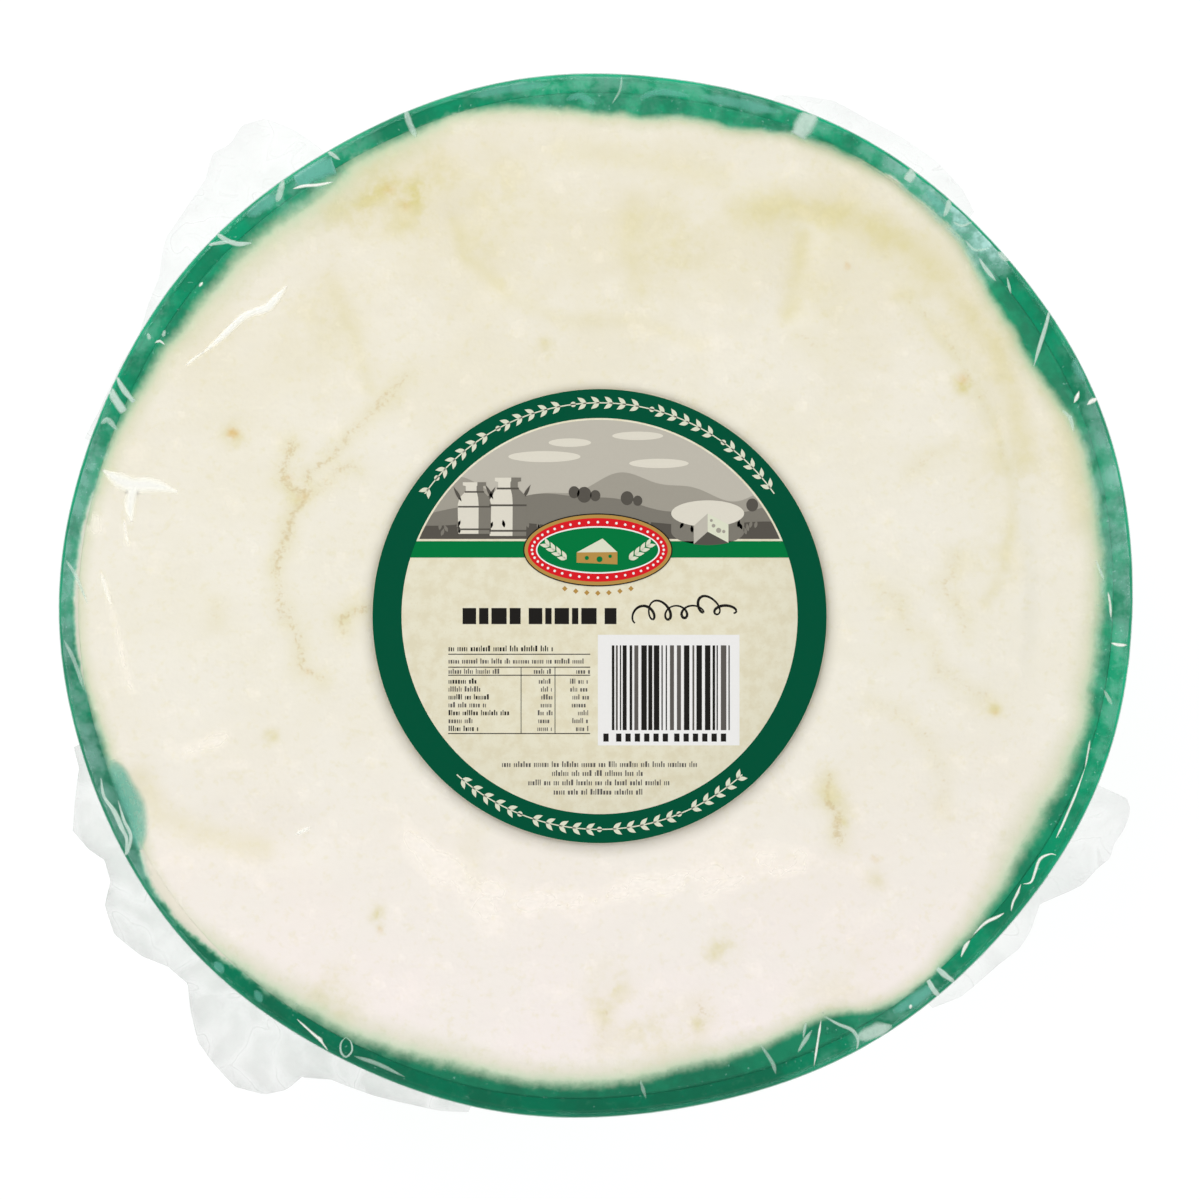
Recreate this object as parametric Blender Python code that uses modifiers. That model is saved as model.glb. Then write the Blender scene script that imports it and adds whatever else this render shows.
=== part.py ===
"""A wheel of fresh ricotta in its green plastic tub, vacuum packed in clear film, with a round label.

Metres, +Z up. The origin is the middle of the tub's flat base, and +Y is the top of the label.
"""

import math

import bpy
from mathutils import Vector, noise

# The tub
RIM_RADIUS = 0.125
TUB_HEIGHT = 0.070
WALL = 0.0014
FLOOR = 0.0016
LIP_REACH = 0.003
LIP_DEPTH = 0.0042
LIP_EDGE = 0.0011
BASE_RADIUS = 0.112
BASE_CORNER = 0.008

# The vacuum squeezes the round tub out of true: lobes, size, and the direction of one lobe
RIM_WAVES = (
    (2, 0.0021, math.radians(15)),
    (3, 0.0004, math.radians(-29)),
    (9, 0.0003, math.radians(20)),
)
BASE_SQUEEZE = 0.4

# The cheese
CLEARANCE = 0.0004
CROWN = 0.003
CROWN_FLAT = 0.060
SHOULDER_REACH = 0.006
SHOULDER_DROP = 0.012
SHOULDER_POWER = 6
CHEESE_CORNER = 0.006

# Where the cheese stands back from the wall, or pushes out to it: direction, half width, size
STAND_BACKS = (
    (math.radians(30), math.radians(14), 0.0035),
    (math.radians(50), math.radians(9), 0.0030),
    (math.radians(88), math.radians(12), 0.0026),
    (math.radians(138), math.radians(12), 0.0022),
    (math.radians(178), math.radians(14), -0.0028),
    (math.radians(217), math.radians(9), -0.0040),
    (math.radians(262), math.radians(12), 0.0012),
    (math.radians(292), math.radians(10), 0.0042),
    (math.radians(311), math.radians(6), -0.0020),
    (math.radians(333), math.radians(12), 0.0016),
)

# The ledge that the lid of the mould left in the top, on one side
LEDGE_RADIUS = 0.100
LEDGE_WIDTH = 0.005
LEDGE_DROP = 0.0014
LEDGE_DIRECTION = math.radians(33)
LEDGE_SPREAD = math.radians(34)
LEDGE_END = math.radians(51)

# Furrows under folds of the film: start, end, half width, depth
FURROWS = (
    ((-0.033, 0.089), (-0.025, 0.075), 0.0045, 0.0012),
    ((0.047, 0.087), (0.045, 0.068), 0.0050, 0.0012),
    ((-0.108, -0.048), (-0.070, -0.057), 0.0060, 0.0014),
)
UNEVENNESS = 0.0006
UNEVEN_SCALE = 0.028

# The label
LABEL_RADIUS = 0.0536
LABEL_CENTRE = (0.0006, -0.0045)
LABEL_THICKNESS = 0.0005

# The spare film of the bag, where its two sheets meet round the side of the tub
SEAM_HEIGHT = 0.030
FILM_THICKNESS = 0.0006
FILM_CLEARANCE = 0.0009
FILM_TUCK = -0.0015
FILM_DROOP = 0.35
RIPPLE = 0.0011
RIPPLE_LOBES = 17

# Its flaps: direction, half width, and reach past the rim
FLAPS = (
    (math.radians(57), math.radians(10), 0.0085),
    (math.radians(127), math.radians(4.5), 0.0130),
    (math.radians(136), math.radians(10), 0.0125),
    (math.radians(204), math.radians(4.5), 0.0115),
    (math.radians(217), math.radians(6), 0.0165),
    (math.radians(233), math.radians(8), 0.0215),
    (math.radians(320), math.radians(6), 0.0085),
    (math.radians(335), math.radians(4), 0.0125),
)

# How finely each shape is divided
SEGMENTS = 84
LABEL_SEGMENTS = 96
TOP_RINGS = 18
TUB_RINGS = 3
SIDE_RINGS = 2
SHOULDER_STEPS = 5
ARC_STEPS = 3
FILM_SEGMENTS = 2 * SEGMENTS
FILM_RINGS = 4
MERGE = 0.00001


def new_collection(name):
    """A new collection in the scene."""
    collection = bpy.data.collections.new(name)
    bpy.context.scene.collection.children.link(collection)
    return collection


def plastic(name, colour, roughness, alpha=1.0):
    """A Principled material of one colour."""
    material = bpy.data.materials.new(name)
    material.use_nodes = True
    shader = material.node_tree.nodes["Principled BSDF"]
    shader.inputs["Base Color"].default_value = (*colour, 1.0)
    shader.inputs["Roughness"].default_value = roughness
    shader.inputs["Metallic"].default_value = 0.0
    shader.inputs["Alpha"].default_value = alpha
    return material


def smooth_step(low, high, value):
    """0 below low, 1 above high, and a smooth rise between them."""
    t = min(max((value - low) / (high - low), 0.0), 1.0)
    return t * t * (3.0 - 2.0 * t)


def bump(angle, direction, half_width):
    """A smooth bump of height 1 round a direction."""
    away = math.remainder(angle - direction, math.tau)
    return math.exp(-((away / half_width) ** 2))


def along(start, end, point):
    """How far point lies from the line between start and end, all in plan."""
    start, end, point = Vector(start), Vector(end), Vector(point)
    line = end - start
    share = min(max((point - start).dot(line) / line.length_squared, 0.0), 1.0)
    return (point - start - share * line).length


def arc(centre, radius, first, last, steps):
    """Points of an arc in a section, from one angle in degrees to another."""
    points = []
    for step in range(steps + 1):
        angle = math.radians(first + (last - first) * step / steps)
        points.append((centre[0] + radius * math.cos(angle), centre[1] + radius * math.sin(angle)))
    return points


def spread(first, last, steps):
    """Points between two section points, without the first one."""
    return [
        (first[0] + (last[0] - first[0]) * k / steps, first[1] + (last[1] - first[1]) * k / steps)
        for k in range(1, steps + 1)
    ]


def wall_radius(height):
    """Outer radius of the round tub's tapered wall at a height."""
    return BASE_RADIUS + (RIM_RADIUS - LIP_REACH - BASE_RADIUS) * height / TUB_HEIGHT


def squeezed(radius, angle, height):
    """A radius of the round tub, moved as the vacuum moves it at that angle and height."""
    wave = sum(size * math.cos(lobes * (angle - towards)) for lobes, size, towards in RIM_WAVES)
    share = BASE_SQUEEZE + (1.0 - BASE_SQUEEZE) * height / TUB_HEIGHT
    return radius * (1.0 + share * wave / RIM_RADIUS)


def turned(name, section, segments, collection, material):
    """A section of (radius, height) points, which runs down its outer side, turned about Z."""
    mesh = bpy.data.meshes.new(name)
    edges = [(k, k + 1) for k in range(len(section) - 1)]
    mesh.from_pydata([(radius, 0.0, height) for radius, height in section], edges, [])
    piece = bpy.data.objects.new(name, mesh)
    collection.objects.link(piece)
    screw = piece.modifiers.new("Turn", "SCREW")
    screw.steps = screw.render_steps = segments
    screw.use_merge_vertices = True
    screw.merge_threshold = MERGE
    bpy.context.view_layer.update()
    evaluated = piece.evaluated_get(bpy.context.evaluated_depsgraph_get())
    piece.data = bpy.data.meshes.new_from_object(evaluated)
    piece.data.name = name
    piece.modifiers.clear()
    piece.data.materials.clear()
    piece.data.materials.append(material)
    return piece


def reshape(piece, place):
    """Moves each point of a turned piece to place(radius, angle, height)."""
    for vertex in piece.data.vertices:
        radius = math.hypot(vertex.co.x, vertex.co.y)
        angle = math.atan2(vertex.co.y, vertex.co.x)
        vertex.co = place(radius, angle, vertex.co.z)
    piece.data.update()


def polar(radius, angle, height):
    """A point from its radius, angle and height."""
    return Vector((radius * math.cos(angle), radius * math.sin(angle), height))


def tub_section():
    """From the middle of the tub's floor up its inside, over the lip and down to the base."""
    inner_corner = BASE_CORNER - WALL
    inner_foot = wall_radius(BASE_CORNER) - WALL
    inner_top = wall_radius(TUB_HEIGHT) - WALL
    corner_centre = (inner_foot - inner_corner, FLOOR + inner_corner)
    section = [(0.0, FLOOR)]
    section += arc(corner_centre, inner_corner, -90, 0, ARC_STEPS)
    section += spread(section[-1], (inner_top, TUB_HEIGHT - LIP_EDGE), TUB_RINGS)
    section += arc((inner_top + LIP_EDGE, TUB_HEIGHT - LIP_EDGE), LIP_EDGE, 180, 90, ARC_STEPS)[1:]
    section += arc((RIM_RADIUS - LIP_EDGE, TUB_HEIGHT - LIP_EDGE), LIP_EDGE, 90, 0, ARC_STEPS)
    lip_foot = TUB_HEIGHT - LIP_DEPTH
    section += [(RIM_RADIUS, lip_foot), (wall_radius(lip_foot), lip_foot)]
    foot = (wall_radius(BASE_CORNER), BASE_CORNER)
    section += spread(section[-1], foot, TUB_RINGS)
    section += arc((foot[0] - BASE_CORNER, BASE_CORNER), BASE_CORNER, 0, -90, ARC_STEPS)[1:]
    section.append((0.0, 0.0))
    return section


def build_tub(collection):
    """The green tub, a plain tapered shell with a flat lip."""
    green = plastic("tub_green", (0.005, 0.30, 0.13), 0.35)
    tub = turned("tub", tub_section(), SEGMENTS, collection, green)
    reshape(tub, lambda radius, angle, height: polar(squeezed(radius, angle, height), angle, height))
    return tub


def cheese_side(height):
    """Radius of the cheese where it fills the tub."""
    return wall_radius(height) - WALL - CLEARANCE


def cheese_section():
    """From the middle of the top, over the rounded shoulder and down to the base."""
    shoulder_foot = TUB_HEIGHT - SHOULDER_DROP
    shoulder_inner = cheese_side(shoulder_foot) - SHOULDER_REACH
    section = [(0.0, TUB_HEIGHT)]
    section += spread(section[0], (shoulder_inner, TUB_HEIGHT), TOP_RINGS)
    for step in range(1, SHOULDER_STEPS + 1):
        turn = math.radians(90 * (1 - step / SHOULDER_STEPS))
        section.append((
            shoulder_inner + SHOULDER_REACH * math.cos(turn),
            shoulder_foot + SHOULDER_DROP * math.sin(turn),
        ))
    bottom = FLOOR + CLEARANCE
    foot_height = bottom + CHEESE_CORNER
    foot = (cheese_side(foot_height), foot_height)
    section += spread(section[-1], foot, SIDE_RINGS)
    section += arc((foot[0] - CHEESE_CORNER, foot_height), CHEESE_CORNER, 0, -90, ARC_STEPS)[1:]
    section.append((0.0, bottom))
    return section


def stand_back(angle):
    """How far the shoulder of the cheese stands back from its usual place."""
    return sum(size * bump(angle, direction, width) for direction, width, size in STAND_BACKS)


def ledge(radius, angle):
    """How far the top lies below the middle, outside the ledge."""
    turn = math.remainder(angle - LEDGE_DIRECTION, math.tau)
    ends = 1.0 - smooth_step(LEDGE_SPREAD, LEDGE_END, abs(turn))
    return LEDGE_DROP * ends * smooth_step(LEDGE_RADIUS, LEDGE_RADIUS + LEDGE_WIDTH, radius)


def top_relief(x, y):
    """Height of the cheese's top above the rim at a point in plan."""
    radius, angle = math.hypot(x, y), math.atan2(y, x)
    outside = smooth_step(CROWN_FLAT, cheese_side(TUB_HEIGHT), radius)
    height = CROWN * (1.0 - outside)
    height -= ledge(radius, angle)
    for start, end, half_width, depth in FURROWS:
        height -= depth * math.exp(-((along(start, end, (x, y)) / half_width) ** 2))
    waves = noise.noise(Vector((x, y, 0.0)) / UNEVEN_SCALE)
    return height + UNEVENNESS * waves * smooth_step(CROWN_FLAT, CROWN_FLAT + UNEVEN_SCALE, radius)


def cheese_point(radius, angle, height):
    """A point of the turned cheese, squeezed with the tub, set back at its shoulder and given its top."""
    shoulder_foot = TUB_HEIGHT - SHOULDER_DROP
    on_shoulder = smooth_step(shoulder_foot, TUB_HEIGHT, height)
    near_edge = (radius / cheese_side(TUB_HEIGHT)) ** SHOULDER_POWER
    moved = squeezed(radius, angle, height) - stand_back(angle) * on_shoulder * near_edge
    point = polar(moved, angle, height)
    point.z += on_shoulder * top_relief(point.x, point.y)
    return point


def build_cheese(collection):
    """The wheel of ricotta, which fills the tub up to its lip."""
    cream = plastic("ricotta_cream", (0.87, 0.82, 0.67), 0.55)
    cheese = turned("ricotta_wheel", cheese_section(), SEGMENTS, collection, cream)
    reshape(cheese, cheese_point)
    return cheese


def build_label(collection):
    """The round label on the flat middle of the top."""
    bottom = TUB_HEIGHT + CROWN + CLEARANCE
    bpy.ops.mesh.primitive_cylinder_add(
        vertices=LABEL_SEGMENTS,
        radius=LABEL_RADIUS,
        depth=LABEL_THICKNESS,
        location=(*LABEL_CENTRE, bottom + LABEL_THICKNESS / 2),
    )
    label = bpy.context.object
    label.name = label.data.name = "label"
    for holder in list(label.users_collection):
        holder.objects.unlink(label)
    collection.objects.link(label)
    label.data.materials.append(plastic("label_paper", (0.79, 0.76, 0.60), 0.5))
    return label


def film_reach(angle):
    """How far the edge of the spare film lies outside the rim."""
    flaps = [reach * bump(angle, direction, width) for direction, width, reach in FLAPS]
    return FILM_TUCK + sum(flap**2 for flap in flaps) ** 0.5


def film_point(share, angle, height):
    """A point of the spare film, where share is 0 at the tub's wall and 1 at the film's edge."""
    inner = squeezed(wall_radius(SEAM_HEIGHT), angle, SEAM_HEIGHT) + FILM_CLEARANCE
    outer = squeezed(RIM_RADIUS, angle, TUB_HEIGHT) + film_reach(angle)
    radius = inner + (outer - inner) * share
    ripple = RIPPLE * math.sin(RIPPLE_LOBES * angle) * share
    return polar(radius, angle, height - FILM_DROOP * (radius - inner) * share + ripple)


def build_film(collection):
    """The flange of spare film that stands out round the side of the tub."""
    clear = plastic("clear_film", (0.93, 0.95, 0.95), 0.15, alpha=0.3)
    # The unit section is scaled to the film's width by film_point
    section = [(1.0 + ring / FILM_RINGS, SEAM_HEIGHT) for ring in range(FILM_RINGS + 1)]
    film = turned("vacuum_bag", section, FILM_SEGMENTS, collection, clear)
    reshape(film, lambda radius, angle, height: film_point(radius - 1.0, angle, height))
    solid = film.modifiers.new("Thickness", "SOLIDIFY")
    solid.thickness = FILM_THICKNESS
    solid.offset = 0.0
    return film


def main():
    """Clears the scene and builds the pack."""
    for old in list(bpy.data.objects):
        bpy.data.objects.remove(old)
    pack = new_collection("ricotta_pack")
    build_tub(pack)
    build_cheese(pack)
    build_label(pack)
    build_film(pack)


main()
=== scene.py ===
"""The looks of a wheel of fresh ricotta: its curd, its green tub, the clear vacuum bag and the label.

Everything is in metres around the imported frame: +Z up, +Y towards the top of the label, and the origin in
the middle of the tub's flat base. Marks that were read off the photograph are given in its pixels, which
from_photo turns into places on the pack.
"""

import logging
import math
import random
from dataclasses import dataclass, field
from enum import Enum
from typing import Any, Callable, Iterable

import bpy
import numpy as np
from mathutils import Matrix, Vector
from mathutils.bvhtree import BVHTree


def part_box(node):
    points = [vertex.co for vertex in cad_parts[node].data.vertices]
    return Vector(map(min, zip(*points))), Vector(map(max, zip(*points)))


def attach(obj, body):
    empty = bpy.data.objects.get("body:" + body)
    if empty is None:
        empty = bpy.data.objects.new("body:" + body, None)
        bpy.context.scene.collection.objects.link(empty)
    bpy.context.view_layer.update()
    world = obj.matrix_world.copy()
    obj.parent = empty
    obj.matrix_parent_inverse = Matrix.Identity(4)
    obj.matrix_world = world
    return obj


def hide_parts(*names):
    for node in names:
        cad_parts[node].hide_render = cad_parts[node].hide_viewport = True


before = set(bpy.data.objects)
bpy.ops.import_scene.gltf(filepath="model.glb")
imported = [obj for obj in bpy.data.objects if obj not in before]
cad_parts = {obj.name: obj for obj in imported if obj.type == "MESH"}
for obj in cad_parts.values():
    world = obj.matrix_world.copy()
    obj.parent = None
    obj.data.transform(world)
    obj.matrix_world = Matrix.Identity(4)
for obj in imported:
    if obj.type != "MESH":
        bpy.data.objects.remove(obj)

log = logging.getLogger("ricotta")

Array = np.ndarray
Object = bpy.types.Object
Socket = bpy.types.NodeSocket
Point = tuple[float, float]
Colour = tuple[float, float, float]
Place = Callable[[Array, Array, Array], tuple[Array, Array, Array]]

MM = 0.001
TURN = math.tau
BODY = "root"

# The photograph looks straight down: the pixel over the rim's middle, and one pixel's width at the rim
PHOTO_MIDDLE = (597.0, 597.0)
PHOTO_PIXEL = 0.2363 * MM
PHOTO_SIDE = 1200

# The tub and the cheese, as the frame's solids have them
WALL = 1.4 * MM
FLOOR = 1.6 * MM
LIP_REACH = 3.0 * MM
LIP_DEPTH = 4.2 * MM
BASE_RADIUS = 112.0 * MM
BASE_CORNER = 8.0 * MM
BASE_SQUEEZE = 0.4
CLEARANCE = 0.4 * MM
SEAM_HEIGHT = 30.0 * MM
TUB_SIDES = 84
BAG_SIDES = 168

# How much plain print mirrors, and where most of a noise's values lie
INK_SPECULAR = 0.03
NOISE_LOW = 0.3
NOISE_HIGH = 0.7

# How the random waves in shapes are made up: how many plain waves, how long and how high
WAVES = 18
WAVE_LENGTH = 2.0
WAVE_HEIGHT = 0.38


def from_photo(x: float, y: float) -> Point:
    """A place in plan from its pixel in the photograph."""
    return (x - PHOTO_MIDDLE[0]) * PHOTO_PIXEL, (PHOTO_MIDDLE[1] - y) * PHOTO_PIXEL


def from_srgb(red: int, green: int, blue: int) -> Colour:
    """A linear colour from the 0 to 255 values of a screen colour."""
    shares = [value / 255 for value in (red, green, blue)]
    return tuple(s / 12.92 if s <= 0.04045 else ((s + 0.055) / 1.055) ** 2.4 for s in shares)


def smooth_step(low: Any, high: Any, value: Array) -> Array:
    """0 below low, 1 above high, and a smooth rise between them.

    Args:
        low: Where the rise starts, one number or one for each value.
        high: Where it ends.
        value: What is measured.

    Returns:
        The share of the rise that each value has passed.
    """
    share = np.clip((value - low) / (high - low), 0.0, 1.0)
    return share * share * (3.0 - 2.0 * share)


def bump(angle: Array, direction: float, half_width: float) -> Array:
    """A smooth bump of height 1 round a direction, all in radians."""
    away = (angle - direction + math.pi) % TURN - math.pi
    return np.exp(-((away / half_width) ** 2))


def around(values: Array, angle: Array) -> Array:
    """Reads evenly spaced directions as one smooth closed line.

    Args:
        values: What is known at evenly spaced directions, from +X and counterclockwise.
        angle: The directions asked for, in radians.

    Returns:
        The value at each angle, by a cubic through the four nearest.
    """
    count = len(values)
    place = (angle % TURN) / TURN * count
    first = np.floor(place).astype(int)
    t = place - first
    before, start, end, after = (values[(first + step) % count] for step in (-1, 0, 1, 2))
    bend = 2 * before - 5 * start + 4 * end - after + t * (3 * (start - end) + after - before)
    return start + 0.5 * t * (end - before + t * bend)


def by_direction(pairs: Iterable[tuple[float, float]], count: int = 120) -> Array:
    """Evenly spaced values, for around, from (degrees, value) pairs at any directions."""
    degrees, values = zip(*pairs)
    return np.interp(np.arange(count) * 360 / count, degrees, values, period=360)


def off_line(x: Array, y: Array, points: Iterable[Point]) -> Array:
    """How far places lie from a line of straight runs.

    Args:
        x: Places in plan.
        y: Places in plan.
        points: The line's points.

    Returns:
        Each place's distance to the nearest run.
    """
    points = list(points)
    nearest = np.full(x.shape, np.inf)
    for (ax, ay), (bx, by) in zip(points, points[1:]):
        run = max((bx - ax) ** 2 + (by - ay) ** 2, 1e-12)
        share = np.clip(((x - ax) * (bx - ax) + (y - ay) * (by - ay)) / run, 0.0, 1.0)
        nearest = np.minimum(nearest, np.hypot(x - ax - share * (bx - ax), y - ay - share * (by - ay)))
    return nearest


def along_lines(x: Array, y: Array, lines: Iterable[tuple]) -> Array:
    """How near each place is to soft lines, given as (points, half width in pixels, strength)."""
    found = 0 * x
    for line, pixels, strength in lines:
        away = off_line(x, y, [from_photo(*point) for point in line])
        found = np.maximum(found, strength * np.exp(-((away / (pixels * PHOTO_PIXEL)) ** 2)))
    return found


def rough(x: Array, y: Array, z: Array, scale: float, seed: float = 0.0) -> Array:
    """Soft random waves from about -1 to 1, as a sum of plain waves in random directions.

    Args:
        x: Places to read, with y and z.
        y: See x.
        z: See x.
        scale: About half the length of one wave.
        seed: Another number gives other waves.

    Returns:
        The wave at each place.
    """
    draw = np.random.default_rng(round(seed * 10) + 7)
    found = np.zeros(len(x))
    for _ in range(WAVES):
        heading = draw.normal(size=3)
        heading /= np.linalg.norm(heading)
        pace = TURN / (WAVE_LENGTH * scale * draw.uniform(0.6, 1.6))
        along = heading[0] * x + heading[1] * y + heading[2] * z
        found += np.sin(pace * along + draw.uniform(0.0, TURN))
    return found * math.sqrt(2.0 / WAVES) * WAVE_HEIGHT


def layered(x: Array, y: Array, layers: tuple) -> Array:
    """Adds up soft random waves in plan.

    Args:
        x: Places in plan.
        y: See x.
        layers: The waves, as (height, size, seed).

    Returns:
        The sum at each place.
    """
    found = 0 * x
    for height, size, seed in layers:
        found = found + height * rough(x, y, 0 * x, size, seed)
    return found


def polar(x: Array, y: Array) -> tuple[Array, Array]:
    """Radius and direction of places in plan."""
    return np.hypot(x, y), np.arctan2(y, x)


def deselect() -> None:
    """Leaves object mode's selection empty, so that an operator meets only the next piece."""
    if bpy.context.object and bpy.context.object.mode != "OBJECT":
        bpy.ops.object.mode_set(mode="OBJECT")
    bpy.ops.object.select_all(action="DESELECT")


def pick(*pieces: Object) -> None:
    """Selects these pieces alone and makes the first one active."""
    deselect()
    for piece in pieces:
        piece.select_set(True)
    bpy.context.view_layer.objects.active = pieces[0]


def named(name: str) -> Object:
    """Names the active object and its data, and hands it back."""
    piece = bpy.context.object
    piece.name = piece.data.name = name
    return piece


def apply_modifiers(piece: Object) -> None:
    """Applies each modifier of a piece, in its order."""
    pick(piece)
    for modifier in list(piece.modifiers):
        bpy.ops.object.modifier_apply(modifier=modifier.name)


def joined(name: str, pieces: list[Object]) -> Object:
    """Joins pieces into the first one and names it."""
    pick(*pieces)
    if len(pieces) > 1:
        bpy.ops.object.join()
    return named(name)


def copied(piece: Object) -> Object:
    """A copy of a piece with a mesh of its own."""
    twin = piece.copy()
    twin.data = piece.data.copy()
    bpy.context.scene.collection.objects.link(twin)
    return twin


def points_of(piece: Object) -> Array:
    """The vertices of a piece, one row each."""
    flat = np.empty(len(piece.data.vertices) * 3)
    piece.data.vertices.foreach_get("co", flat)
    return flat.reshape(-1, 3)


def move_points(piece: Object, points: Array) -> None:
    """Puts the vertices of a piece at these points."""
    piece.data.vertices.foreach_set("co", np.ascontiguousarray(points, dtype=np.float32).ravel())
    piece.data.update()


def mark(piece: Object, name: str, values: Array) -> None:
    """Keeps one number for each vertex as an attribute, which the materials read."""
    layer = piece.data.attributes.new(name, "FLOAT", "POINT")
    layer.data.foreach_set("value", np.ascontiguousarray(values, dtype=np.float32))


def turned(name: str, section: list[Point], steps: int) -> Object:
    """Draws a section point by point and turns it about Z.

    Args:
        name: The piece's name.
        section: (radius, height) points, with both ends on the axis or both off it.
        steps: How many flat faces go round.

    Returns:
        The turned piece, its doubles merged and its faces outwards.
    """
    deselect()
    bpy.ops.mesh.primitive_plane_add(size=MM, location=(0, 0, 0))
    piece = named(name)
    bpy.ops.object.mode_set(mode="EDIT")
    bpy.ops.mesh.select_all(action="SELECT")
    bpy.ops.mesh.merge(type="CENTER")
    bpy.ops.transform.translate(value=(section[0][0], 0, section[0][1]))
    for (r0, z0), (r1, z1) in zip(section, section[1:]):
        bpy.ops.mesh.extrude_region_move(TRANSFORM_OT_translate={"value": (r1 - r0, 0, z1 - z0)})
    bpy.ops.object.mode_set(mode="OBJECT")
    sweep = piece.modifiers.new("Turn", "SCREW")
    sweep.steps = sweep.render_steps = steps
    sweep.use_smooth_shade = True
    apply_modifiers(piece)
    bpy.ops.object.mode_set(mode="EDIT")
    bpy.ops.mesh.select_all(action="SELECT")
    bpy.ops.mesh.remove_doubles(threshold=0.002 * MM)
    bpy.ops.mesh.normals_make_consistent(inside=False)
    bpy.ops.object.mode_set(mode="OBJECT")
    return piece


def reshape(piece: Object, place: Place) -> None:
    """Moves each vertex of a turned piece from its radius, angle and height to those that place gives."""
    points = points_of(piece)
    radius, angle, height = place(*polar(points[:, 0], points[:, 1]), points[:, 2])
    move_points(piece, np.column_stack((radius * np.cos(angle), radius * np.sin(angle), height)))


def spread(first: Point, last: Point, steps: int) -> list[Point]:
    """Evenly spaced section points from first to last, without the first one."""
    return [
        (first[0] + (last[0] - first[0]) * k / steps, first[1] + (last[1] - first[1]) * k / steps)
        for k in range(1, steps + 1)
    ]


def arc(centre: Point, radius: float, first: float, last: float, steps: int) -> list[Point]:
    """Section points of an arc from one angle in degrees to another, both ends included."""
    angles = [math.radians(first + (last - first) * k / steps) for k in range(steps + 1)]
    return [(centre[0] + radius * math.cos(a), centre[1] + radius * math.sin(a)) for a in angles]


@dataclass(frozen=True)
class PackForm:
    """The outline that the vacuum gave the pack, read from the frame's solids.

    Attributes:
        height: Height of the tub's rim.
        rim: Radius of the rim at evenly spaced directions.
        bag_heights: Height of the spare film's edge at evenly spaced directions.
        crown: Height of the flat middle of the cheese.
    """

    height: float
    rim: Array
    bag_heights: Array
    crown: float

    @classmethod
    def from_frame(cls) -> "PackForm":
        """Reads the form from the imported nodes."""
        rim, _ = cls.outermost("tub", TUB_SIDES)
        _, bag_heights = cls.outermost("vacuum_bag", BAG_SIDES)
        return cls(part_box("tub")[1].z, rim, bag_heights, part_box("ricotta_wheel")[1].z)

    @staticmethod
    def outermost(node: str, count: int) -> tuple[Array, Array]:
        """The outermost corner of a node in each direction that its solid has.

        Args:
            node: The node's name.
            count: How many directions its solid was turned in.

        Returns:
            Radius and height of that corner in each direction.
        """
        points = points_of(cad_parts[node])
        radius, angle = polar(points[:, 0], points[:, 1])
        sector = np.round(angle % TURN / TURN * count).astype(int) % count
        found = [np.flatnonzero(sector == k) for k in range(count)]
        best = [rows[np.argmax(radius[rows])] for rows in found]
        return radius[best], points[best, 2]

    @property
    def mean_rim(self) -> float:
        """Mean radius of the rim."""
        return float(self.rim.mean())

    def squeeze(self, angle: Array, height: Array) -> Array:
        """How much wider than a round tub the squeezed one is, in a direction and at a height."""
        share = BASE_SQUEEZE + (1.0 - BASE_SQUEEZE) * height / self.height
        return 1.0 + share * (around(self.rim, angle) / self.mean_rim - 1.0)

    def wall(self, height: float) -> float:
        """Outer radius of the round tub's wall at a height."""
        top = self.mean_rim - LIP_REACH
        return BASE_RADIUS + (top - BASE_RADIUS) * height / self.height


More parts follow.
